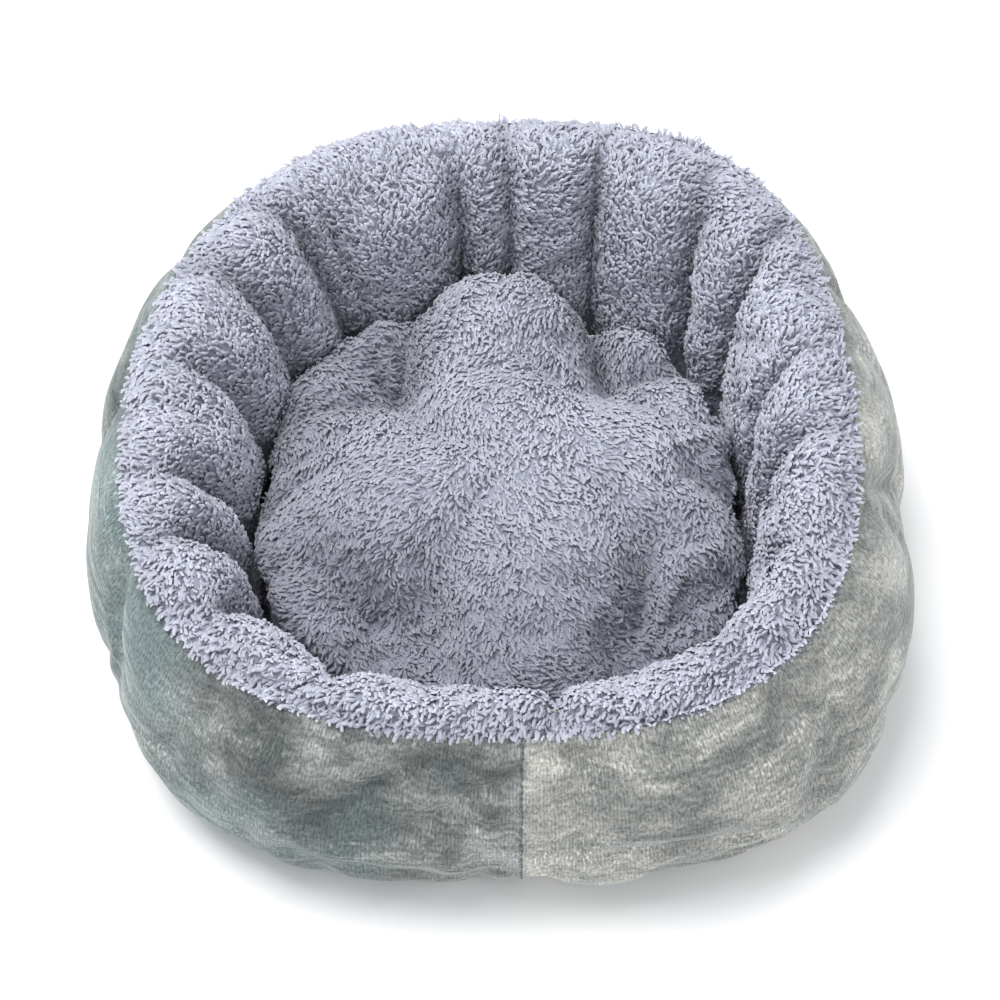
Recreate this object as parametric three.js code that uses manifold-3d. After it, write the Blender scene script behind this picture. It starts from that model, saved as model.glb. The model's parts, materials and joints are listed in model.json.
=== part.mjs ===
// Round plush pet bed: a stuffed ring wall in velvet and sherpa on a wadded base,
// with a loose tacked cushion in its nest. Millimetres, +Z up, origin at the
// middle of the underside, front towards -Y.
import * as THREE from 'three';
import { mergeVertices } from 'three/addons/utils/BufferGeometryUtils.js';
import Module from 'manifold-3d';

const wasm = await Module();
wasm.setup();

// Cloth thicknesses and the clearances between pieces.
const GAP = 0.35;
const WALL_EASE = 0.9;
const PAD_EASE = 3;
const VELVET = 1.5;
const SHERPA = 6;
const CLOTH = 1.2;
const WADDING = 6;
const THREAD_RADIUS = 0.6;
const SEAM_TRIM = 1.0;

// Base: a flat cloth, a wadding sheet over it and a lining on the nest floor.
const BASE_RADIUS = 208;
const WADDING_RADIUS = 201;
const FLOOR_RADIUS = 146.6;
const BASE_SEAM = [204, 2.2];
const FLOOR_SEAM = [148.1, 8.5];

// Wall section as [radius, height]: velvet outside, sherpa over the crest and down.
const PANEL_SECTION = [[206, 1.6], [230, 15], [244, 44], [247, 72], [239, 108], [216, 140]];
const LINING_SECTION = [[216, 140], [197, 160], [172, 153], [157, 128], [151, 96], [149, 50], [150, 8]];
const PANEL_STEPS = 8;
const LINING_STEPS = 11;
const FILLING_FOOT = [208, 8.3];
const WALL_SEGMENTS = 48;

// Shape of the whole bed: softly square footprint, low thin front, high back, leaning rim.
const RIM_HEIGHT = 150;
const SQUARENESS = 0.038;
const FRONT_DEPTH = 0.97;
const BACK_DEPTH = 1.02;
const FRONT_HEIGHT = 0.96;
const BACK_HEIGHT = 1.19;
const LEVEL_HEIGHT = 70;
const SIDE_LEAN = -9;
const BACK_LEAN = 11;
const FRONT_SHIFT = 8;
const FRONT_LEAN = 8;
const FRONT_PINCH = 0.45;
const PINCH_RADIUS = 195;

// The front and back seams of the velvet and of the sherpa lie in one plane.
const SEAM_X = 13;
const SEAM_STEPS = 10;
const SEAM_SIDES = 3;
const CUT_SIZE = 700;

// Cushion: a rounded cushion of two covers, stuffed and tacked through at four points.
const PAD_RADIUS = 147;
const PAD_FOOT = 9.4;
const PAD_SEAM = 62;
const PAD_TOP = 112;
const PAD_CROWN = 3.5;
const PAD_FLATNESS = 8;
const PAD_STEPS = 8;
const TACKS = [[-62, 68], [64, 79], [-53, -96], [76, -104]];
const DIMPLE_DEPTH = 28;
const DIMPLE_SPREAD = 22;
const TACK_INSET = 3;
const TACK_HEAD = [2.6, 1.8];
const TACK_SIDES = 8;

const FINISHES = {
  velvet: { color: 0x8f9b98, roughness: 0.6 },
  sherpa: { color: 0x9092a2, roughness: 0.95 },
  lining_cloth: { color: 0x6f7482, roughness: 0.9 },
  base_cloth: { color: 0x43474c, roughness: 0.85 },
  fibre: { color: 0xe9e8e4, roughness: 1 },
  thread: { color: 0x7b8586, roughness: 0.7 },
};

const bed = new THREE.Group();

/** Soft blend from 0 at zero to 1 at the given length. */
function ramp(value, length) {
  return THREE.MathUtils.smoothstep(value, 0, length);
}

/** Bends a point of the round, level bed into its real, slumped shape. */
function slump(point) {
  const angle = Math.atan2(point.y, point.x);
  const radius = Math.hypot(point.x, point.y);
  const backness = (1 + Math.sin(angle)) / 2;
  const rimness = ramp(point.z, RIM_HEIGHT);
  const lean = (point.z / RIM_HEIGHT) ** 3;
  const reach = ramp(radius, PAD_RADIUS);
  const pinch = FRONT_PINCH * (1 - backness) ** 3 * rimness * reach;
  const footprint = 1 - SQUARENESS * Math.cos(4 * angle);
  const spread = THREE.MathUtils.lerp(radius, PINCH_RADIUS, pinch) * footprint;
  const depth = THREE.MathUtils.lerp(FRONT_DEPTH, BACK_DEPTH, backness);
  const height = THREE.MathUtils.lerp(FRONT_HEIGHT, BACK_HEIGHT, backness);
  const sideways = THREE.MathUtils.lerp(SIDE_LEAN, BACK_LEAN, Math.max(0, Math.sin(angle)) ** 2);
  point.x = Math.cos(angle) * spread + (sideways * lean + FRONT_SHIFT * (1 - backness) ** 2) * reach;
  point.y = Math.sin(angle) * spread * depth + FRONT_LEAN * lean * (1 - backness) * reach;
  point.z *= 1 + (height - 1) * ramp(point.z, LEVEL_HEIGHT) * reach;
  return point;
}

/** Pulls the top of the cushion down around its tacks. */
function dimple(point) {
  const softness = ramp(point.z - PAD_FOOT, PAD_SEAM);
  for (const [x, y] of TACKS) {
    const distance = Math.hypot(point.x - x, point.y - y) / DIMPLE_SPREAD;
    point.z -= DIMPLE_DEPTH * softness * Math.exp(-distance * distance / 2);
  }
  return point;
}

/** Moves every corner of a geometry by the given functions, in order. */
function bend(geometry, ...moves) {
  const place = geometry.attributes.position;
  const point = new THREE.Vector3();
  for (let i = 0; i < place.count; i += 1) {
    point.fromBufferAttribute(place, i);
    moves.forEach((move) => move(point));
    place.setXYZ(i, point.x, point.y, point.z);
  }
  return geometry;
}

/** Turns a section of [radius, height] points once round the Z axis. */
function turn(section, segments = WALL_SEGMENTS) {
  const outline = section.map(([radius, height]) => new THREE.Vector2(radius, height));
  return new THREE.LatheGeometry(outline, segments).rotateX(Math.PI / 2);
}

/** Makes a closed solid from a geometry, ready to be cut. */
function toSolid(geometry) {
  const shape = geometry.clone();
  shape.deleteAttribute('normal');
  shape.deleteAttribute('uv');
  const welded = mergeVertices(shape, 0.001);
  return new wasm.Manifold(new wasm.Mesh({
    numProp: 3,
    vertProperties: Float32Array.from(welded.attributes.position.array),
    triVerts: Uint32Array.from(welded.index.array),
  }));
}

/** Gives a solid back as a geometry. */
function toGeometry(solid) {
  const { vertProperties, triVerts } = solid.getMesh();
  const geometry = new THREE.BufferGeometry();
  geometry.setAttribute('position', new THREE.BufferAttribute(vertProperties, 3));
  geometry.setIndex(new THREE.BufferAttribute(triVerts, 1));
  geometry.computeVertexNormals();
  return geometry;
}

/** Adds one named piece to the bed. */
function addPiece(name, solid, finish) {
  const mesh = new THREE.Mesh(toGeometry(solid), new THREE.MeshStandardMaterial(FINISHES[finish]));
  mesh.name = name;
  bed.add(mesh);
}

/** Adds a disc of cloth or wadding that lies flat on the base. */
function addDisc(name, radius, low, thickness, finish) {
  const top = low + thickness;
  const disc = turn([[0, low], [radius, low], [radius, top], [0, top]]);
  addPiece(name, toSolid(bend(disc, slump)), finish);
}

/** Smooth section curve through a few [radius, height] points. */
function sectionCurve(points) {
  return new THREE.SplineCurve(points.map(([radius, height]) => new THREE.Vector2(radius, height)));
}

/** Point on a section curve, moved inwards by a depth. */
function inset(curve, along, depth) {
  const spot = curve.getPointAt(along);
  const tangent = curve.getTangentAt(along);
  return [spot.x - tangent.y * depth, spot.y + tangent.x * depth];
}

/** Row of points along a stretch of a section curve, at one depth. */
function insetRow(curve, from, to, depth, steps) {
  const row = [];
  for (let i = 0; i <= steps; i += 1) {
    row.push(inset(curve, THREE.MathUtils.lerp(from, to, i / steps), depth));
  }
  return row;
}

/** Closed section of a cloth that covers a stretch of a section curve. */
function clothSection(curve, from, to, thickness, steps) {
  const face = insetRow(curve, from, to, 0, steps);
  const back = insetRow(curve, from, to, thickness, steps).reverse();
  return [...face, ...back, face[0]];
}

/** Square section of a thread round the bed, closed on itself. */
function threadSection([radius, height], size = THREAD_RADIUS) {
  return [
    [radius + size, height], [radius, height + size],
    [radius - size, height], [radius, height - size], [radius + size, height],
  ];
}

/** Cuts a ring of cloth into its left and right halves, with room for the seam thread. */
function addHalves(name, ring, finish) {
  const margin = THREAD_RADIUS + GAP;
  for (const [side, direction] of [['left', -1], ['right', 1]]) {
    const knife = new THREE.BoxGeometry(CUT_SIZE, CUT_SIZE, CUT_SIZE);
    knife.translate(SEAM_X + direction * (margin + CUT_SIZE / 2), 0, 0);
    addPiece(`${name}_${side}`, ring.intersect(toSolid(knife)), finish);
  }
}

/** Adds the thread of an up-and-down seam, which follows a section at one depth. */
function addSeamThread(name, curve, depth, side) {
  const trim = 2 * SEAM_TRIM / curve.getLength();
  const spots = insetRow(curve, trim, 1 - trim, depth, SEAM_STEPS);
  const route = spots.map(([radius, height]) => {
    const y = side * Math.sqrt(radius * radius - SEAM_X * SEAM_X);
    const spot = slump(new THREE.Vector3(SEAM_X, y, height));
    spot.x = SEAM_X;
    return spot;
  });
  const outline = new THREE.Shape();
  outline.absarc(0, 0, THREAD_RADIUS, 0, 2 * Math.PI);
  const thread = new THREE.ExtrudeGeometry(outline, {
    extrudePath: new THREE.CatmullRomCurve3(route),
    steps: 2 * SEAM_STEPS,
    curveSegments: SEAM_SIDES,
  });
  addPiece(name, toSolid(thread), 'thread');
}

/** Builds the flat base that carries the bed. */
function buildBase() {
  addDisc('base_cloth', BASE_RADIUS, 0, CLOTH, 'base_cloth');
  addDisc('base_wadding', WADDING_RADIUS, CLOTH + GAP, WADDING, 'fibre');
  addDisc('floor_lining', FLOOR_RADIUS, CLOTH + WADDING + 2 * GAP, CLOTH, 'lining_cloth');
  addPiece('base_seam_thread', toSolid(bend(turn(threadSection(BASE_SEAM)), slump)), 'thread');
  addPiece('floor_seam_thread', toSolid(bend(turn(threadSection(FLOOR_SEAM)), slump)), 'thread');
}

/** Builds the ring wall: velvet outside, sherpa inside, fibre between them. */
function buildWall() {
  const panel = sectionCurve(PANEL_SECTION);
  const lining = sectionCurve(LINING_SECTION);
  const panelEnd = 1 - SEAM_TRIM / panel.getLength();
  const liningStart = SEAM_TRIM / lining.getLength();

  const velvet = clothSection(panel, 0, panelEnd, VELVET, PANEL_STEPS);
  const sherpa = clothSection(lining, liningStart, 1, SHERPA, LINING_STEPS);
  addHalves('outer_panel', toSolid(bend(turn(velvet), slump)), 'velvet');
  addHalves('wall_lining', toSolid(bend(turn(sherpa), slump)), 'sherpa');

  const outside = insetRow(panel, 0, panelEnd, VELVET + WALL_EASE, PANEL_STEPS).slice(1);
  const inside = insetRow(lining, liningStart, 1, SHERPA + WALL_EASE, LINING_STEPS);
  const filling = [FILLING_FOOT, ...outside, ...inside, FILLING_FOOT];
  addPiece('wall_filling', toSolid(bend(turn(filling), slump)), 'fibre');

  const rim = inset(panel, 1, VELVET / 2);
  addPiece('rim_seam_thread', toSolid(bend(turn(threadSection(rim)), slump)), 'thread');
  addSeamThread('front_panel_seam', panel, VELVET / 2, -1);
  addSeamThread('back_panel_seam', panel, VELVET / 2, 1);
  addSeamThread('front_lining_seam', lining, SHERPA / 2, -1);
  addSeamThread('back_lining_seam', lining, SHERPA / 2, 1);
}

/** Half of the cushion's section as a rounded arc, from its side seam to the axis. */
function padArc(radius, base, top, power) {
  const arc = [];
  for (let i = 0; i <= PAD_STEPS; i += 1) {
    const turned = (Math.PI / 2) * (i / PAD_STEPS);
    const out = Math.cos(turned) ** (2 / power);
    const up = Math.sin(turned) ** (2 / power);
    arc.push([i === PAD_STEPS ? 0 : radius * out, base + (top - base) * up]);
  }
  return arc;
}

/** Section of a cushion cover, from the axis out to the seam and back inside it. */
function coverSection(base, top, thickness, power) {
  const inward = Math.sign(base - top) * thickness;
  const face = padArc(PAD_RADIUS, base, top, power);
  const back = padArc(PAD_RADIUS - thickness, base, top + inward, power);
  return inward < 0 ? [...back.reverse(), ...face] : [...face.reverse(), ...back];
}

/** Section of one tack: a tie with a flat knot at each end, widened by a margin. */
function tackSection(foot, seat, margin, headroom) {
  const [headRadius, headHeight] = TACK_HEAD;
  const head = headRadius + margin;
  const shank = THREAD_RADIUS + margin;
  return [
    [0, foot - headroom], [head, foot - headroom], [head, foot + headHeight + margin],
    [shank, foot + headHeight + margin], [shank, seat - headHeight - margin],
    [head, seat - headHeight - margin], [head, seat + headroom], [0, seat + headroom],
  ];
}

/** Height of the cushion's top face where a tack pulls it down. */
function tackSeat(x, y) {
  const reach = Math.hypot(x, y) / PAD_RADIUS;
  const crown = (1 - reach ** PAD_CROWN) ** (1 / PAD_CROWN);
  const spot = new THREE.Vector3(x, y, PAD_SEAM + (PAD_TOP - PAD_SEAM) * crown);
  return dimple(slump(spot)).z - TACK_INSET;
}

/** Builds the loose cushion with its four tacks. */
function buildPad() {
  const upper = PAD_SEAM + SEAM_TRIM;
  const lower = PAD_SEAM - SEAM_TRIM;
  const width = PAD_RADIUS - SHERPA - PAD_EASE;
  const inside = padArc(width, PAD_SEAM, PAD_TOP - SHERPA - PAD_EASE, PAD_CROWN);
  const under = padArc(width, PAD_SEAM, PAD_FOOT + CLOTH + PAD_EASE, PAD_FLATNESS).slice(1);
  const sections = {
    pad_top_cover: [coverSection(upper, PAD_TOP, SHERPA, PAD_CROWN), 'sherpa'],
    pad_bottom_cover: [coverSection(lower, PAD_FOOT, CLOTH, PAD_FLATNESS), 'lining_cloth'],
    pad_filling: [[...under.reverse(), ...inside], 'fibre'],
  };
  const ties = TACKS.map(([x, y]) => {
    const foot = PAD_FOOT + GAP;
    const seat = tackSeat(x, y);
    const tie = turn(tackSection(foot, seat, 0, 0), TACK_SIDES).translate(x, y, 0);
    const bore = turn(tackSection(foot, seat, GAP, PAD_TOP), TACK_SIDES).translate(x, y, 0);
    return { tie: toSolid(tie), bore: toSolid(bore) };
  });
  for (const [name, [section, finish]] of Object.entries(sections)) {
    const whole = toSolid(bend(turn(section), slump, dimple));
    const bored = ties.reduce((solid, { bore }) => solid.subtract(bore), whole);
    addPiece(name, bored, finish);
  }
  const edge = threadSection([PAD_RADIUS - VELVET, PAD_SEAM]);
  addPiece('pad_edge_thread', toSolid(bend(turn(edge), slump, dimple)), 'thread');
  ties.forEach(({ tie }, index) => addPiece(`pad_tack_${index + 1}`, tie, 'thread'));
}

buildBase();
buildWall();
buildPad();

// The origin is the middle of the footprint.
const middle = new THREE.Box3().setFromObject(bed).getCenter(new THREE.Vector3());
bed.position.set(-middle.x, -middle.y, 0);

export default bed;
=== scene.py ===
"""Looks of a round plush pet bed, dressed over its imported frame.

A stuffed ring wall in knitted velvet and sherpa fleece stands on a flat base, with a
loose tacked cushion in its nest. Every place is read from the frame's own nodes.
Lengths are metres, and names that end in _mm are millimetres.
"""

import json
import logging
import math
from collections.abc import Callable
from dataclasses import dataclass, field
from enum import Enum

import bmesh
import bpy
import numpy as np
from mathutils import Matrix, Vector, noise
from mathutils.bvhtree import BVHTree
from mathutils.kdtree import KDTree

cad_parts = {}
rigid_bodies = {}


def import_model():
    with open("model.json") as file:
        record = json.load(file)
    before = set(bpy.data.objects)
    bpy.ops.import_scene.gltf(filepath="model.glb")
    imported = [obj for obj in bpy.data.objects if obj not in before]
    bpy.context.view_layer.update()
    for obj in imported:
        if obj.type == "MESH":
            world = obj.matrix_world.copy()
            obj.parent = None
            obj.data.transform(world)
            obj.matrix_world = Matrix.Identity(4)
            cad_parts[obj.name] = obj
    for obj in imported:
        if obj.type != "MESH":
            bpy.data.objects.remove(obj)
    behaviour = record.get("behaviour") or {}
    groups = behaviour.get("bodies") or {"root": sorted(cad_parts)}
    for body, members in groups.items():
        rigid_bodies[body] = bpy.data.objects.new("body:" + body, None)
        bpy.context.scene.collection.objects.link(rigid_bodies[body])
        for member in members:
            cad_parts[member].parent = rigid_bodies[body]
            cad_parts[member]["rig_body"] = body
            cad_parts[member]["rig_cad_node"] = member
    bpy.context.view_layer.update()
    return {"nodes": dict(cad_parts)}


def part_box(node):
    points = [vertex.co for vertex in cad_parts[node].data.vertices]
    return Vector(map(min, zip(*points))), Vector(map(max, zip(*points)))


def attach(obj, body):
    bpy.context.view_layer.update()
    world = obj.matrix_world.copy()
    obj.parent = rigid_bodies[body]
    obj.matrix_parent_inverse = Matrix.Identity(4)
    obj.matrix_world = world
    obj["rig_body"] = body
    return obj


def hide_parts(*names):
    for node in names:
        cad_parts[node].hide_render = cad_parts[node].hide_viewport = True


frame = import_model()

MM = 0.001
SEED = 11
SIM_FRAMES = 20
LUMPS_OF_1_MM = 1000.0  # scale of a noise texture whose lumps are 1 mm across
BANDS_OF_1_MM = 314.0  # scale of a wave texture whose bands repeat every 1 mm
LOG = logging.getLogger("pet_bed")

Array = np.ndarray
Socket = bpy.types.NodeSocket
Tree = bpy.types.NodeTree


class Body(Enum):
    """The rigid bodies that pieces ride on."""

    BED = "bed"
    PAD = "pad"


class Side(Enum):
    """The two halves that the front and back seams join."""

    LEFT = "left"
    RIGHT = "right"


# ---------------------------------------------------------------- small helpers


def srgb(code: str) -> tuple[float, float, float, float]:
    """Turns an sRGB hex colour into linear light.

    Args:
        code: The colour as "#rrggbb".

    Returns:
        Red, green, blue and an alpha of one.
    """
    parts = [int(code[i : i + 2], 16) / 255 for i in (1, 3, 5)]
    linear = [c / 12.92 if c <= 0.04045 else ((c + 0.055) / 1.055) ** 2.4 for c in parts]
    return (*linear, 1.0)


def add_node(
    tree: Tree,
    kind: str,
    settings: dict[str, object] | None = None,
    links: dict[str | int, object] | None = None,
) -> bpy.types.Node:
    """Adds one shader node.

    Args:
        tree: The node tree that gets the node.
        kind: The node's type name.
        settings: Values for the node's own properties.
        links: For each input, by name or number, a socket to link or a value to set.

    Returns:
        The new node.
    """
    node = tree.nodes.new(kind)
    for name, value in (settings or {}).items():
        setattr(node, name, value)
    for name, value in (links or {}).items():
        if isinstance(value, Socket):
            tree.links.new(value, node.inputs[name])
        else:
            node.inputs[name].default_value = value
    return node


def smooth_step(value: Array, low: float, high: float) -> Array:
    """Eased ramp from 0 at low to 1 at high."""
    part = np.clip((value - low) / (high - low), 0, 1)
    return part * part * (3 - 2 * part)


def circular_blur(values: Array, sigma: float) -> Array:
    """Blurs an array round its first axis, which closes on itself.

    Args:
        values: The array, with one row for each step round the ring.
        sigma: The blur's width in steps.

    Returns:
        The blurred array.
    """
    reach = int(3 * sigma) + 1
    steps = np.arange(-reach, reach + 1)
    weights = np.exp(-0.5 * (steps / sigma) ** 2)
    weights /= weights.sum()
    return sum(w * np.roll(values, s, axis=0) for s, w in zip(steps, weights))


def noise_at(points: Array, scale: float, seed: float = 0.0) -> Array:
    """Smooth noise from -1 to 1 at each point.

    Args:
        points: Places, one row each.
        scale: Lumps per metre.
        seed: Shifts the noise so that two calls differ.

    Returns:
        One value for each point.
    """
    moved = points * scale + seed
    return np.array([noise.noise(Vector(p)) for p in moved.tolist()])


def unit(rows: Array) -> Array:
    """Rows scaled to length one."""
    return rows / np.maximum(np.linalg.norm(rows, axis=-1, keepdims=True), 1e-9)


def read_points(mesh: bpy.types.Mesh) -> Array:
    """All corner places of a mesh, one row each."""
    flat = np.empty(len(mesh.vertices) * 3, np.float32)
    mesh.vertices.foreach_get("co", flat)
    return flat.reshape(-1, 3).astype(float)


def write_points(mesh: bpy.types.Mesh, points: Array) -> None:
    """Puts a mesh's corners at new places."""
    mesh.vertices.foreach_set("co", np.ascontiguousarray(points, np.float32).ravel())
    mesh.update()


def corner_normals(mesh: bpy.types.Mesh) -> Array:
    """Outward directions at a mesh's corners, one row each."""
    flat = np.empty(len(mesh.vertices) * 3, np.float32)
    mesh.vertex_normals.foreach_get("vector", flat)
    return flat.reshape(-1, 3).astype(float)


def piece_from(name: str, source: bmesh.types.BMesh) -> bpy.types.Object:
    """Makes a smooth-shaded object at the origin from a bmesh, which it frees.

    Args:
        name: The piece's name.
        source: The shape, already in place.

    Returns:
        The new object, linked to the scene.
    """
    mesh = bpy.data.meshes.new(name)
    source.to_mesh(mesh)
    source.free()
    mesh.shade_smooth()
    piece = bpy.data.objects.new(name, mesh)
    bpy.context.scene.collection.objects.link(piece)
    return piece


def settle(piece: bpy.types.Object) -> bpy.types.Object:
    """Applies a piece's modifiers to its mesh and removes them."""
    graph = bpy.context.evaluated_depsgraph_get()
    made = bpy.data.meshes.new_from_object(piece.evaluated_get(graph))
    piece.modifiers.clear()
    old = piece.data
    piece.data = made
    bpy.data.meshes.remove(old)
    made.name = piece.name
    return piece


def refine(piece: bpy.types.Object, levels: int) -> bpy.types.Object:
    """Subdivides a piece into a smooth finer mesh."""
    modifier = piece.modifiers.new("fine", "SUBSURF")
    modifier.levels = modifier.render_levels = levels
    modifier.boundary_smooth = "PRESERVE_CORNERS"
    return settle(piece)


def thicken(piece: bpy.types.Object, thickness: float) -> bpy.types.Object:
    """Gives a skin its cloth thickness, inwards from its face."""
    modifier = piece.modifiers.new("cloth", "SOLIDIFY")
    modifier.thickness = thickness
    modifier.offset = -1
    return settle(piece)


def dress(
    piece: bpy.types.Object,
    material: bpy.types.Material,
    body: Body,
    nodes: tuple[str, ...] = (),
) -> bpy.types.Object:
    """Gives a piece its finish and its place in the object.

    Args:
        piece: The finished piece.
        material: Its finish.
        body: The body that it moves with.
        nodes: The CAD nodes that it stands for.

    Returns:
        The same piece.
    """
    piece.data.materials.clear()
    piece.data.materials.append(material)
    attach(piece, body.value)
    if nodes:
        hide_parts(*nodes)
    LOG.info("%s: %d faces on %s", piece.name, len(piece.data.polygons), body.value)
    return piece


def inflate(
    piece: bpy.types.Object, pins: Array, pressure: float, slack: float, cap: float
) -> None:
    """Puffs a closed skin up in a cloth simulation and keeps the result.

    Args:
        piece: The closed skin.
        pins: How firmly each corner is held, from 0 to 1.
        pressure: Air pressure inside.
        slack: How much too large the cloth is cut, as a share.
        cap: The furthest that a corner may move.
    """
    before = read_points(piece.data)
    group = piece.vertex_groups.new(name="pins")
    for index, weight in enumerate(pins.tolist()):
        group.add([index], weight, "REPLACE")
    modifier = piece.modifiers.new("puff", "CLOTH")
    cloth = modifier.settings
    cloth.quality = 4
    cloth.mass = 0.25
    cloth.tension_stiffness = cloth.compression_stiffness = 12
    cloth.shear_stiffness = 6
    cloth.bending_stiffness = 0.4
    cloth.vertex_group_mass = "pins"
    cloth.shrink_min = -slack
    cloth.use_pressure = True
    cloth.uniform_pressure_force = pressure
    cloth.effector_weights.gravity = 0
    modifier.collision_settings.use_collision = False
    modifier.point_cache.frame_start = 1
    modifier.point_cache.frame_end = SIM_FRAMES
    scene = bpy.context.scene
    for step in range(1, SIM_FRAMES + 1):
        scene.frame_set(step)
    graph = bpy.context.evaluated_depsgraph_get()
    moved = read_points(piece.evaluated_get(graph).data) - before
    piece.modifiers.clear()
    piece.vertex_groups.clear()
    scene.frame_set(1)
    length = np.linalg.norm(moved, axis=1, keepdims=True)
    limited = moved * (cap * np.tanh(length / cap) / np.maximum(length, 1e-9))
    write_points(piece.data, before + limited)


# ---------------------------------------------------------------- finishes


def surface(
    name: str, pattern: Callable[[Tree], tuple[Socket, Socket]], relief_mm: float,
    strength: float, values: dict[str, object],
) -> bpy.types.Material:
    """Makes a material from a colour, a relief and plain shader values.

    Args:
        name: The material's name.
        pattern: Adds the pattern's nodes and gives its colour and its height.
        relief_mm: How far the height lifts the surface.
        strength: How strongly the relief is felt, from 0 to 1.
        values: Values for the shader's own sockets.

    Returns:
        The material.
    """
    material = bpy.data.materials.new(name)
    material.use_nodes = True
    tree = material.node_tree
    shader = tree.nodes["Principled BSDF"]
    colour, height = pattern(tree)
    relief = add_node(
        tree, "ShaderNodeBump", None,
        {"Height": height, "Strength": strength, "Distance": relief_mm * MM},
    ).outputs["Normal"]
    tree.links.new(colour, shader.inputs["Base Color"])
    tree.links.new(relief, shader.inputs["Normal"])
    for socket, value in values.items():
        shader.inputs[socket].default_value = value
    return material


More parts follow.
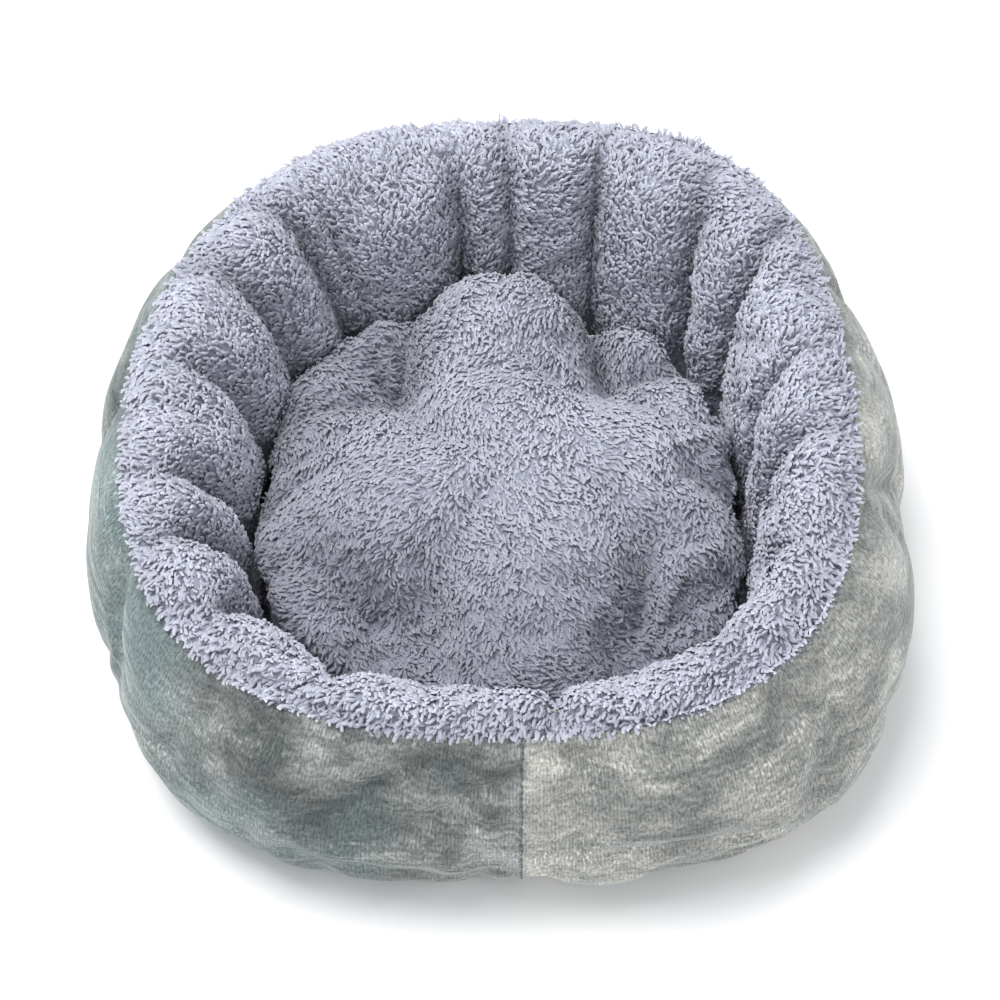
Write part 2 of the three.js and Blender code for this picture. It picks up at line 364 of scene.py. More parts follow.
@dataclass(frozen=True)
class KnittedVelvet:
    """Short-pile polyester velvet on a fine knit base, brushed after knitting.

    To the eye it is matt with a soft sheen at its edges. The knit gives faint ribs and a
    fine grain, the brushed nap gives cloudy light and dark marks that lie level, and the
    pile glints in small dashes where it is pressed over. The nap's marks are painted sheen
    and shade, and the glints are painted highlights, both in the colour.
    """

    name: str = "knitted_velvet"
    # The light and dark ends of the ramp are the nap's painted sheen and shade.
    light: str = "#b1b1aa"
    middle: str = "#90918d"
    dark: str = "#6f736f"
    teal: str = "#92a09e"
    rib_pitch_mm: float = 1.9  # the real ribs are nearer 1 mm, too fine to show
    grain_mm: float = 1.613
    nap_patch_mm: float = 70.0
    teal_patch_mm: float = 111.1
    brushed: tuple[float, float, float] = (9.0, 9.0, 30.0)  # nap marks lie level
    folds_per_m: tuple[float, float, float] = (13.0, 60.0, 1.0)
    fold_slant: float = 0.35
    # Strength of the painted highlights where pressed pile glints.
    fold_mm: float = 5.0
    painted_highlight: float = 1.0
    relief_mm: float = 0.9

    def nap(self, tree: Tree, place: Socket, brushed: Socket) -> Socket:
        """Adds the brushed light and dark marks: painted sheen and shade of the pile.

        Args:
            tree: The material's nodes.
            place: Object coordinates.
            brushed: The same, squeezed so that a pattern lies level.

        Returns:
            The nap's colour.
        """
        broad = add_node(
            tree, "ShaderNodeTexNoise", None,
            {"Vector": place, "Scale": LUMPS_OF_1_MM / self.nap_patch_mm, "Detail": 4.0,
             "Roughness": 0.55, "Distortion": 0.6},
        ).outputs["Fac"]
        marks = add_node(
            tree, "ShaderNodeTexNoise", None,
            {"Vector": brushed, "Scale": 2.2, "Detail": 5.0, "Roughness": 0.6, "Distortion": 0.9},
        ).outputs["Fac"]
        wrinkles = add_node(
            tree, "ShaderNodeTexNoise", None,
            {"Vector": brushed, "Scale": 6.0, "Detail": 3.0, "Roughness": 0.5, "Distortion": 1.5},
        ).outputs["Fac"]
        mixed = add_node(
            tree, "ShaderNodeMix", {"data_type": "FLOAT"}, {0: 0.4, 2: marks, 3: wrinkles}
        ).outputs[0]
        total = add_node(
            tree, "ShaderNodeMath", {"operation": "ADD"}, {0: broad, 1: mixed}
        ).outputs[0]
        half = add_node(
            tree, "ShaderNodeMath", {"operation": "MULTIPLY"}, {0: total, 1: 0.5}
        ).outputs[0]
        # The ramp paints sheen and shade: lighter where the brushed pile catches the light, darker
        # where it does not.
        shade = add_node(tree, "ShaderNodeValToRGB", None, {"Fac": half})
        stops = shade.color_ramp.elements
        stops[0].position, stops[0].color = 0.42, srgb(self.dark)
        stops[1].position, stops[1].color = 0.58, srgb(self.light)
        stops.new(0.5).color = srgb(self.middle)
        return shade.outputs["Color"]

    def tinted(self, tree: Tree, place: Socket, colour: Socket) -> Socket:
        """Adds the teal cast, which gathers on the left of the bed.

        Args:
            tree: The material's nodes.
            place: Object coordinates.
            colour: The nap's colour.

        Returns:
            The tinted colour.
        """
        shifted = add_node(
            tree, "ShaderNodeMapping", None, {"Vector": place, "Location": (3.0, 1.0, 7.0)}
        ).outputs["Vector"]
        cloud = add_node(
            tree, "ShaderNodeTexNoise", None,
            {"Vector": shifted, "Scale": LUMPS_OF_1_MM / self.teal_patch_mm, "Detail": 2.0},
        ).outputs["Fac"]
        across = add_node(tree, "ShaderNodeSeparateXYZ", None, {"Vector": place}).outputs["X"]
        leftward = add_node(
            tree, "ShaderNodeMapRange", None,
            {"Value": across, "From Min": -0.02, "From Max": -0.2, "To Min": -0.06, "To Max": 0.25},
        ).outputs["Result"]
        cast = add_node(
            tree, "ShaderNodeMath", {"operation": "ADD"}, {0: cloud, 1: leftward}
        ).outputs[0]
        share = add_node(
            tree, "ShaderNodeMapRange", None,
            {"Value": cast, "From Min": 0.56, "From Max": 0.8, "To Min": 0.0, "To Max": 0.75},
        ).outputs["Result"]
        return add_node(
            tree, "ShaderNodeMix", {"data_type": "RGBA"}, {0: share, 6: colour, 7: srgb(self.teal)}
        ).outputs[2]

    def knit(self, tree: Tree, cloth: Socket) -> Socket:
        """Adds the ribs and grain of the knit.

        Args:
            tree: The material's nodes.
            cloth: The panel's cloth map.

        Returns:
            The knit's height.
        """
        ribs = add_node(
            tree, "ShaderNodeTexWave", {"wave_profile": "SIN"},
            {"Vector": cloth, "Scale": BANDS_OF_1_MM / self.rib_pitch_mm, "Distortion": 1.6,
             "Detail": 1.0, "Detail Scale": 1.2},
        ).outputs["Fac"]
        dash_place = add_node(
            tree, "ShaderNodeMapping", None, {"Vector": cloth, "Scale": (1.0, 0.6, 1.0)}
        ).outputs["Vector"]
        dashes = add_node(
            tree, "ShaderNodeTexNoise", None,
            {"Vector": dash_place, "Scale": LUMPS_OF_1_MM / self.grain_mm, "Detail": 3.0,
             "Roughness": 0.75},
        ).outputs["Fac"]
        return add_node(
            tree, "ShaderNodeMath", {"operation": "MULTIPLY_ADD"}, {0: ribs, 1: 0.07, 2: dashes}
        ).outputs[0]

    def glints(self, tree: Tree, cloth: Socket, brushed: Socket, yarn: Socket) -> Socket:
        """Adds the glints of pressed pile to the yarn's brightness as painted highlights.

        Args:
            tree: The material's nodes.
            cloth: The panel's cloth map.
            brushed: Object coordinates, squeezed so that a pattern lies level.
            yarn: Brightness of the knit.

        Returns:
            Brightness with the glints.
        """
        long = add_node(
            tree, "ShaderNodeMapping", None, {"Vector": cloth, "Scale": (1.0, 0.35, 1.0)}
        ).outputs["Vector"]
        specks = add_node(
            tree, "ShaderNodeTexNoise", None,
            {"Vector": long, "Scale": LUMPS_OF_1_MM / self.grain_mm, "Detail": 1.0},
        ).outputs["Fac"]
        patches = add_node(
            tree, "ShaderNodeTexNoise", None, {"Vector": brushed, "Scale": 1.6, "Detail": 3.0}
        ).outputs["Fac"]
        # Painted highlights: bright dashes added to the colour's brightness.
        bright = add_node(
            tree, "ShaderNodeMapRange", None,
            {"Value": specks, "From Min": 0.56, "From Max": 0.68, "To Min": 0.0,
             "To Max": self.painted_highlight},
        ).outputs["Result"]
        where = add_node(
            tree, "ShaderNodeMapRange", None, {"Value": patches, "From Min": 0.42, "From Max": 0.62}
        ).outputs["Result"]
        return add_node(
            tree, "ShaderNodeMath", {"operation": "MULTIPLY_ADD"}, {0: bright, 1: where, 2: yarn}
        ).outputs[0]

    def pattern(self, tree: Tree) -> tuple[Socket, Socket]:
        """Adds the whole pattern.

        Args:
            tree: The material's nodes.

        Returns:
            The colour and the height.
        """
        place = add_node(tree, "ShaderNodeTexCoord").outputs["Object"]
        cloth = add_node(tree, "ShaderNodeUVMap", {"uv_map": "cloth"}).outputs["UV"]
        brushed = add_node(
            tree, "ShaderNodeMapping", None, {"Vector": place, "Scale": self.brushed}
        ).outputs["Vector"]
        coloured = self.tinted(tree, place, self.nap(tree, place, brushed))
        knit = self.knit(tree, cloth)
        yarn = add_node(
            tree, "ShaderNodeMapRange", None,
            {"Value": knit, "From Min": 0.4, "From Max": 0.64, "To Min": 0.6, "To Max": 1.4},
        ).outputs["Result"]
        brightness = self.glints(tree, cloth, brushed, yarn)
        colour = add_node(
            tree, "ShaderNodeVectorMath", {"operation": "SCALE"}, {0: coloured, "Scale": brightness}
        ).outputs["Vector"]
        fold_place = add_node(
            tree, "ShaderNodeMapping", None,
            {"Vector": cloth, "Rotation": (0.0, 0.0, self.fold_slant), "Scale": self.folds_per_m},
        ).outputs["Vector"]
        folds = add_node(
            tree, "ShaderNodeTexNoise", None,
            {"Vector": fold_place, "Scale": 1.0, "Detail": 2.0, "Roughness": 0.45, "Distortion": 1.1},
        ).outputs["Fac"]
        height = add_node(
            tree, "ShaderNodeMath", {"operation": "MULTIPLY_ADD"},
            {0: folds, 1: self.fold_mm / self.relief_mm, 2: knit},
        ).outputs[0]
        return colour, height

    def make(self) -> bpy.types.Material:
        """Builds the velvet, patterned in the panel's own cloth map."""
        return surface(self.name, self.pattern, self.relief_mm, 0.85, {
            "Roughness": 0.72,
            "Specular IOR Level": 0.3,
            "Sheen Weight": 0.55,
            "Sheen Roughness": 0.35,
            "Sheen Tint": srgb("#dfe6e4"),
        })


@dataclass(frozen=True)
class SherpaPile:
    """Polyester sherpa, knitted and then curled into locks by heat.

    To the eye it is dark between the locks and pale and quite matt at their tips, with a
    light fuzz over the whole. The dark between the locks is painted shade, a colour that
    darkens from tip to root along each lock.
    """

    name: str = "sherpa_pile"
    # Root and middle colours are painted shade, which falls between the locks.
    root: str = "#8a8c9c"
    middle: str = "#aeb0be"
    tip: str = "#c8cad6"
    fibre_mm: float = 0.5  # real fibres are far finer, too fine to show
    cloud_mm: float = 45.45

    def pattern(self, tree: Tree) -> tuple[Socket, Socket]:
        """Adds the painted shade along each lock, darkest at its root, from the piece's own attributes.

        Args:
            tree: The material's nodes.

        Returns:
            The colour and the height.
        """
        along = add_node(tree, "ShaderNodeAttribute", {"attribute_name": "along"}).outputs["Fac"]
        # Each lock's brightness attribute holds random variation and painted shade from folds, dents
        # and the stretch it grows on.
        tone = add_node(tree, "ShaderNodeAttribute", {"attribute_name": "tone"}).outputs["Fac"]
        place = add_node(tree, "ShaderNodeTexCoord").outputs["Object"]
        shade = add_node(tree, "ShaderNodeValToRGB", None, {"Fac": along})
        stops = shade.color_ramp.elements
        stops[0].position, stops[0].color = 0.05, srgb(self.root)
        stops[1].position, stops[1].color = 0.85, srgb(self.tip)
        stops.new(0.4).color = srgb(self.middle)
        cloud = add_node(
            tree, "ShaderNodeTexNoise", None,
            {"Vector": place, "Scale": LUMPS_OF_1_MM / self.cloud_mm, "Detail": 2.0},
        ).outputs["Fac"]
        clouded = add_node(
            tree, "ShaderNodeMapRange", None,
            {"Value": cloud, "From Min": 0.3, "From Max": 0.7, "To Min": 0.93, "To Max": 1.07},
        ).outputs["Result"]
        brightness = add_node(
            tree, "ShaderNodeMath", {"operation": "MULTIPLY"}, {0: tone, 1: clouded}
        ).outputs[0]
        colour = add_node(
            tree, "ShaderNodeVectorMath", {"operation": "SCALE"},
            {0: shade.outputs["Color"], "Scale": brightness},
        ).outputs["Vector"]
        fibres = add_node(
            tree, "ShaderNodeTexNoise", None,
            {"Vector": place, "Scale": LUMPS_OF_1_MM / self.fibre_mm, "Detail": 1.0},
        ).outputs["Fac"]
        return colour, fibres

    def make(self) -> bpy.types.Material:
        """Builds the fleece."""
        return surface(self.name, self.pattern, self.fibre_mm, 0.5, {
            "Roughness": 0.92,
            "Specular IOR Level": 0.2,
            "Sheen Weight": 0.5,
            "Sheen Roughness": 0.5,
            "Sheen Tint": srgb("#e6e7f2"),
        })


@dataclass(frozen=True)
class WovenCloth:
    """Plain woven polyester.

    To the eye it is matt, with the small chequer of its two threads and a little wear.
    """

    name: str
    colour: str
    gap_colour: str
    thread_mm: float = 1.0  # real threads are about 0.3 mm, too fine to show
    wear_mm: float = 33.33
    roughness: float = 0.88

    def pattern(self, tree: Tree) -> tuple[Socket, Socket]:
        """Adds the weave on Object coordinates.

        Args:
            tree: The material's nodes.

        Returns:
            The colour and the height.
        """
        place = add_node(tree, "ShaderNodeTexCoord").outputs["Object"]
        threads = [
            add_node(
                tree, "ShaderNodeTexWave", {"bands_direction": axis},
                {"Vector": place, "Scale": BANDS_OF_1_MM / self.thread_mm, "Distortion": 0.4},
            ).outputs["Fac"]
            for axis in ("X", "Y")
        ]
        weave = add_node(
            tree, "ShaderNodeMath", {"operation": "MAXIMUM"}, {0: threads[0], 1: threads[1]}
        ).outputs[0]
        wear = add_node(
            tree, "ShaderNodeTexNoise", None,
            {"Vector": place, "Scale": LUMPS_OF_1_MM / self.wear_mm, "Detail": 5.0},
        ).outputs["Fac"]
        share = add_node(
            tree, "ShaderNodeMath", {"operation": "MULTIPLY"}, {0: weave, 1: wear}
        ).outputs[0]
        colour = add_node(
            tree, "ShaderNodeMix", {"data_type": "RGBA"},
            {0: share, 6: srgb(self.gap_colour), 7: srgb(self.colour)},
        ).outputs[2]
        return colour, weave

    def make(self) -> bpy.types.Material:
        """Builds the cloth."""
        values = {"Roughness": self.roughness, "Sheen Weight": 0.15}
        return surface(self.name, self.pattern, 0.2 * self.thread_mm, 0.5, values)


@dataclass(frozen=True)
class MattFibre:
    """Loose polyester fibre, spun thread or printed rubber.

    To the eye it is one cloudy matt colour with a fine fuzzy relief.
    """

    name: str
    colour: str
    shadow: str
    grain_mm: float = 2.0

    def pattern(self, tree: Tree) -> tuple[Socket, Socket]:
        """Adds the cloudy grain on Object coordinates.

        Args:
            tree: The material's nodes.

        Returns:
            The colour and the height.
        """
        place = add_node(tree, "ShaderNodeTexCoord").outputs["Object"]
        grain = add_node(
            tree, "ShaderNodeTexNoise", None,
            {"Vector": place, "Scale": LUMPS_OF_1_MM / self.grain_mm, "Detail": 6.0,
             "Distortion": 1.5},
        ).outputs["Fac"]
        colour = add_node(
            tree, "ShaderNodeMix", {"data_type": "RGBA"},
            {0: grain, 6: srgb(self.shadow), 7: srgb(self.colour)},
        ).outputs[2]
        return colour, grain

    def make(self) -> bpy.types.Material:
        """Builds the finish."""
        values = {"Roughness": 0.95, "Sheen Weight": 0.2}
        return surface(self.name, self.pattern, 0.3 * self.grain_mm, 0.6, values)


@dataclass
class Wardrobe:
    """Every finish of the bed, made once."""

    velvet: bpy.types.Material = field(default_factory=lambda: KnittedVelvet().make())
    # A darker copy of the same velvet for the left panel: painted shade, for how the velvet looks there
    # in less light and against its nap.
    velvet_painted_shade: bpy.types.Material = field(
        default_factory=lambda: KnittedVelvet(
            "knitted_velvet_painted_shade",
            light="#969a97", middle="#727674", dark="#505554", teal="#6c7d7e",
        ).make()
    )
    pile: bpy.types.Material = field(default_factory=lambda: SherpaPile().make())
    backing: bpy.types.Material = field(
        default_factory=lambda: WovenCloth("sherpa_backing", "#9c9eac", "#808292", 1.4).make()
    )
    lining: bpy.types.Material = field(
        default_factory=lambda: WovenCloth("lining_cloth", "#858a98", "#5f6472", 1.0).make()
    )
    base: bpy.types.Material = field(
        default_factory=lambda: WovenCloth("base_cloth", "#565b60", "#34383c", 1.4).make()
    )
    grip: bpy.types.Material = field(
        default_factory=lambda: MattFibre("grip_dots", "#2c2f33", "#202225", 1.0).make()
    )
    fibre: bpy.types.Material = field(
        default_factory=lambda: MattFibre("polyester_fibre", "#f1f0ec", "#cfcdc6", 3.0).make()
    )
    thread: bpy.types.Material = field(
        default_factory=lambda: MattFibre("sewing_thread", "#6b7576", "#3c4445", 0.6).make()
    )


# ---------------------------------------------------------------- the stuffed wall


@dataclass(frozen=True)
class Crease:
    """A fold line across the wall, from one place to another.

    Places are (angle in degrees, share of the way up the velvet or down the lining).
    """

    start: tuple[float, float]
    end: tuple[float, float]
    depth_mm: float
    width_mm: float

    def relief(self, angle: Array, share: Array, radius: float, length: float) -> Array:
        """How deep the crease is at each place of the wall, in metres.

        Args:
            angle: Direction of each place from the middle, in degrees.
            share: How far each place is along the section, from 0 to 1.
            radius: Distance that turns degrees into metres.
            length: Length of the section.

        Returns:
            Depth at each place.
        """
        metres = math.radians(1) * radius
        turned, risen = self.end[0] - self.start[0], self.end[1] - self.start[1]
        line = np.array([turned * metres, risen * length])
        run = max(float(np.hypot(*line)), 1e-6)
        across_angle = (angle - self.start[0] + 180) % 360 - 180
        place = np.stack([across_angle * metres, (share - self.start[1]) * length], -1)
        along = np.clip(place @ line / run**2, 0, 1)
        away = np.linalg.norm(place - along[..., None] * line, axis=-1)
        taper = 0.35 + 0.65 * np.sin(np.pi * np.clip(along, 0.02, 0.98))
        return self.depth_mm * MM * taper * np.exp(-((away / (self.width_mm * MM)) ** 1.4))


@dataclass(frozen=True)
class Nudge:
    """A soft push on one region of the wall, outwards and upwards."""

    angle: float
    spread_deg: float
    height_mm: float
    reach_mm: float
    out_mm: float
    up_mm: float


@dataclass
class WallForm:
    """The ring wall's skin as a grid: columns round the bed, rows round the section.

    Row 0 is the base seam, rim_row the rim seam and floor_row the seam in the nest.
    """

    columns: int = 240
    rim_row: int = 26
    floor_row: int = 60
    rows: int = 70
    rays: int = 110
    velvet_proud_mm: float = 2.4
    lining_proud_mm: float = 1.6
    facet_blur: float = 3.0
    slack: float = 0.05
    pressure: float = 4.5
    cap_mm: float = 15.0
    panel_height: float = 0.16
    lining_height: float = 0.2
    outer_radius: float = 0.22
    nest_radius: float = 0.17
    nudges: tuple[Nudge, ...] = (
        Nudge(92, 34, 190, 60, 3, 9),
        Nudge(58, 20, 180, 60, 9, 4),
        Nudge(122, 14, 180, 60, 5, 2),
        Nudge(152, 22, 110, 90, -7, 0),
        Nudge(-126, 22, 10, 45, 7, 0),
        Nudge(-50, 22, 10, 45, 9, 0),
        Nudge(-88, 30, 0, 40, -3, 0),
    )
    lining_creases: tuple[Crease, ...] = (
        Crease((138, 0.06), (130, 0.8), 20, 7.6),
        Crease((131, 0.16), (126, 0.7), 11, 5.1),
        Crease((104, 0.22), (103, 0.85), 20, 7.6),
        Crease((93, 0.0), (92, 0.9), 14, 6),
        Crease((75, 0.12), (72, 0.88), 19, 6.8),
        Crease((55, 0.12), (46, 0.88), 20, 7.6),
        Crease((39, 0.08), (30, 0.85), 22, 7.6),
        Crease((13, 0.15), (4, 0.78), 16, 6.8),
        Crease((-4, 0.12), (-16, 0.85), 18, 7.6),
        Crease((-28, 0.18), (-38, 0.75), 16, 7.6),
        Crease((-52, 0.25), (-59, 0.85), 11, 6.8),
        Crease((153, 0.06), (147, 0.75), 18, 8.5),
        Crease((171, 0.15), (165, 0.78), 16, 7.6),
        Crease((-168, 0.1), (-173, 0.8), 18, 7.6),
        Crease((-157, 0.08), (-160, 0.8), 18, 7.6),
        Crease((-142, 0.12), (-148, 0.75), 16, 7.6),
        Crease((-121, 0.18), (-128, 0.75), 11, 6.8),
        Crease((-85, 0.0), (-84, 0.35), 10, 5.1),
    )
    velvet_creases: tuple[Crease, ...] = (
        Crease((-101, 0.97), (-117, 0.62), 10, 5),
        Crease((-90, 0.88), (-107, 0.58), 9, 5),
        Crease((-84, 0.99), (-78, 0.8), 8, 5),
        Crease((-12, 0.95), (0, 0.6), 9, 5),
        Crease((-52, 0.97), (-47, 0.74), 8, 5),
        Crease((-42, 0.9), (-44, 0.6), 6, 5),
        Crease((-72, 0.24), (-48, 0.3), 7, 6),
        Crease((-82, 0.5), (-60, 0.46), 5, 6),
        Crease((-96, 0.3), (-120, 0.38), 6, 6),
        Crease((-132, 0.97), (-139, 0.6), 8, 6),
        Crease((-158, 0.97), (-152, 0.55), 8, 6),
        Crease((172, 0.95), (178, 0.5), 8, 6),
        Crease((120, 0.95), (112, 0.5), 8, 7),
        Crease((62, 0.95), (70, 0.45), 8, 7),
        Crease((30, 0.95), (24, 0.5), 8, 7),
        Crease((95, 0.3), (140, 0.35), 6, 7),
    )
    points: Array = field(init=False)
    creased: Array = field(init=False)
    angles: Array = field(init=False)
    seam_x: float = field(init=False)
    filling: BVHTree = field(init=False)

    def __post_init__(self) -> None:
        """Reads the wall from the frame and shapes it."""
        low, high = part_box("front_panel_seam")
        self.seam_x = (low.x + high.x) / 2
        self.angles = np.linspace(-180, 180, self.columns, endpoint=False)
        mesh = frame["nodes"]["wall_filling"].data
        self.filling = BVHTree.FromPolygons(
            [v.co for v in mesh.vertices], [p.vertices for p in mesh.polygons]
        )
        self.points = circular_blur(self.read_sections(), self.facet_blur)
        self.soften_rows()

    def centre(self) -> Array:
        """The upright axis that the columns stand round."""
        return np.array([self.seam_x, 0.0, 0.0])

    def thread_ring(self, node: str) -> Array:
        """Radius and height of a seam thread in each column.

        Args:
            node: The thread's CAD node.

        Returns:
            One row of (radius, height) for each column.
        """
        spots = read_points(frame["nodes"][node].data) - self.centre()
        turned = np.degrees(np.arctan2(spots[:, 1], spots[:, 0]))
        apart = (self.angles[:, None] - turned[None, :] + 180) % 360 - 180
        weights = np.exp(-((apart / 4.0) ** 2))
        weights /= weights.sum(axis=1, keepdims=True)
        ring = np.stack([np.hypot(spots[:, 0], spots[:, 1]), spots[:, 2]], -1)
        return weights @ ring

    def read_sections(self) -> Array:
        """Traces the wall's section in each column, from seam to seam.

        Returns:
            The grid of places.
        """
        base = self.thread_ring("base_seam_thread")
        rim = self.thread_ring("rim_seam_thread")
        floor = self.thread_ring("floor_seam_thread")
        grid = np.empty((self.columns, self.rows, 3))
        for i, degrees in enumerate(self.angles):
            out = Vector((math.cos(math.radians(degrees)), math.sin(math.radians(degrees)), 0))
            section = self.trace(out, base[i], rim[i], floor[i])
            grid[i] = self.centre() + np.stack(
                [section[:, 0] * out.x, section[:, 0] * out.y, section[:, 1]], -1
            )
        return grid

    def trace(self, out: Vector, base: Array, rim: Array, floor: Array) -> Array:
        """Traces one section of the wall as rows of (radius, height).

        Args:
            out: Direction of the column, level.
            base: Radius and height of the base seam.
            rim: The same for the rim seam.
            floor: The same for the nest's floor seam.

        Returns:
            The section's points, evenly spaced between the seams.
        """
        axis = Vector(self.centre())
        core_height = 0.5 * rim[1]
        level = Vector((0, 0, core_height))
        far, reach = 0.5, 0.2
        inner = self.filling.ray_cast(axis + level, out)[0]
        outer = self.filling.ray_cast(axis + level + out * far, -out)[0]
        core_radius = ((inner - axis).dot(out) + (outer - axis).dot(out)) / 2
        core = axis + level + out * core_radius
        split = math.atan2(rim[1] - core_height, rim[0] - core_radius)
        low, high = -0.4 * math.pi, 1.4 * math.pi
        outside, inside = [base], [rim]
        for turned in np.linspace(low, high, self.rays):
            ray = out * math.cos(turned) + Vector((0, 0, math.sin(turned)))
            hit = self.filling.ray_cast(core + ray * reach, -ray)[0]
            if hit is None or hit.z < 11 * MM:
                continue
            proud = self.velvet_proud_mm if turned < split else self.lining_proud_mm
            spot = hit + ray * proud * MM - axis
            row = np.array([spot.dot(out), spot.z])
            if turned < split - 0.04:
                outside.append(row)
            elif turned > split + 0.04:
                inside.append(row)
        outside.append(rim)
        inside.append(floor)
        under = np.linspace(floor, base, self.rows - self.floor_row + 1)[1:-1]
        under[:, 1] = 9 * MM
        return np.concatenate([
            self.even(outside, self.rim_row + 1),
            self.even(inside, self.floor_row - self.rim_row + 1)[1:],
            under,
        ])

    @staticmethod
    def even(rows: list[Array], count: int) -> Array:
        """Respaces a line evenly along its length."""
        line = np.array(rows)
        gone = np.concatenate([[0], np.cumsum(np.linalg.norm(np.diff(line, axis=0), axis=1))])
        wanted = np.linspace(0, gone[-1], count)
        return np.stack([np.interp(wanted, gone, line[:, k]) for k in (0, 1)], -1)

    def soften_rows(self) -> None:
        """Rounds the flats out of the sections and leaves the seams where they are."""
        fixed = [0, self.rim_row, *range(self.floor_row, self.rows)]
        for _ in range(6):
            middle = (np.roll(self.points, 1, 1) + np.roll(self.points, -1, 1)) / 2
            middle[:, fixed] = self.points[:, fixed]
            self.points = 0.5 * self.points + 0.5 * middle

    def normals(self) -> Array:
        """Outward directions of the grid."""
        round_way = np.roll(self.points, -1, 0) - np.roll(self.points, 1, 0)
        up_way = np.roll(self.points, -1, 1) - np.roll(self.points, 1, 1)
        return unit(np.cross(round_way, up_way))

    def shares(self) -> tuple[Array, Array]:
        """How far each row is up the velvet, and down the lining, from 0 to 1."""
        rows = np.arange(self.rows)
        up = np.clip(rows / self.rim_row, 0, 1)
        down = np.clip((rows - self.rim_row) / (self.floor_row - self.rim_row), 0, 1)
        return up, down

    def crease_depth(self) -> Array:
        """Depth of every crease over the grid, in metres."""
        up, down = self.shares()
        angle = np.repeat(self.angles[:, None], self.rows, 1)
        rows = np.arange(self.rows)
        on_velvet = (rows < self.rim_row)[None, :]
        on_lining = ((rows > self.rim_row) & (rows < self.floor_row))[None, :]
        depth = np.zeros((self.columns, self.rows))
        for creases, where, share, radius, length in (
            (self.lining_creases, on_lining, down, self.nest_radius, self.lining_height),
            (self.velvet_creases, on_velvet, up, self.outer_radius, self.panel_height),
        ):
            shares = np.repeat(share[None, :], self.columns, 0)
            for crease in creases:
                depth = np.maximum(depth, where * crease.relief(angle, shares, radius, length))
        return depth

    def nudge(self) -> None:
        """Pushes whole regions of the wall in or out."""
        height = self.points[..., 2]
        out = np.stack([np.cos(np.radians(self.angles)), np.sin(np.radians(self.angles))], -1)
        start = self.points.copy()
        for push in self.nudges:
            apart = (self.angles - push.angle + 180) % 360 - 180
            weight = np.exp(-((apart / push.spread_deg) ** 2))[:, None]
            above = start[..., 2] - push.height_mm * MM
            weight = weight * np.exp(-((above / (push.reach_mm * MM)) ** 2))
            self.points[..., :2] += push.out_mm * MM * weight[..., None] * out[:, None]
            self.points[..., 2] += push.up_mm * MM * weight * smooth_step(height, 0.02, 0.08)

    def hold(self, depth: Array) -> Array:
        """How firmly the simulation holds each place of the grid."""
        pins = np.clip(depth / (11 * MM), 0, 0.92)
        pins[:, : self.rim_row] = np.clip(depth[:, : self.rim_row] / (6 * MM), 0, 0.9)
        pins[:, self.rim_row] = 0.9
        pins[:, 0] = 1
        pins[:, self.floor_row :] = 1
        for degrees in (-90, 90):
            column = int(np.argmin(np.abs(self.angles - degrees)))
            pins[column] = np.maximum(pins[column], 0.8)
        return pins

    def shape(self) -> None:
        """Adds the lumps and creases, then puffs the wall up between its seams."""
        self.nudge()
        depth = self.creased = self.crease_depth()
        flat = self.points.reshape(-1, 3)
        lumps = noise_at(flat, 16.0, 3.0).reshape(depth.shape)
        fine = noise_at(flat, 38.0, 9.0).reshape(depth.shape)
        rows = np.arange(self.rows)
        from_seam = np.abs(rows[:, None] - [0, self.rim_row, self.floor_row]).min(1)
        free = smooth_step(from_seam, 0, 6)
        free[self.floor_row :] = 0
        swell = (2.6 * lumps + 1.4 * fine) * MM * free[None, :]
        self.points = self.points + self.normals() * (swell - depth)[..., None]
        piece, column, row = self.closed_skin()
        inflate(piece, self.hold(depth)[column, row], self.pressure, self.slack, self.cap_mm * MM)
        self.points[column, row] = read_points(piece.data)
        bpy.data.objects.remove(piece)

    def closed_skin(self) -> tuple[bpy.types.Object, Array, Array]:
        """Makes the whole grid as one closed mesh.

        Returns:
            The object, and the column and the row of each of its corners.
        """
        tube, ring = 0.05, 0.2
        work = bmesh.new()
        bmesh.ops.create_circle(work, segments=self.rows, radius=tube)
        upright = Matrix.Translation((ring, 0, 0)) @ Matrix.Rotation(math.pi / 2, 4, "X")
        bmesh.ops.transform(work, matrix=upright, verts=work.verts)
        work.verts.ensure_lookup_table()
        first = math.atan2(work.verts[0].co.z, work.verts[0].co.x - ring)
        bmesh.ops.spin(
            work, geom=work.verts[:] + work.edges[:], cent=(0, 0, 0), axis=(0, 0, 1),
            angle=2 * math.pi, steps=self.columns, use_merge=True,
        )
        bmesh.ops.recalc_face_normals(work, faces=work.faces)
        spots = np.array([v.co for v in work.verts])
        turned = np.degrees(np.arctan2(spots[:, 1], spots[:, 0]))
        column = np.rint((turned + 180) / (360 / self.columns)).astype(int) % self.columns
        around = np.arctan2(spots[:, 2], np.hypot(spots[:, 0], spots[:, 1]) - ring) - first
        row = np.rint(around / (2 * math.pi / self.rows)).astype(int) % self.rows
        piece = piece_from("wall_form", work)
        write_points(piece.data, self.points[column, row])
        return piece, column, row

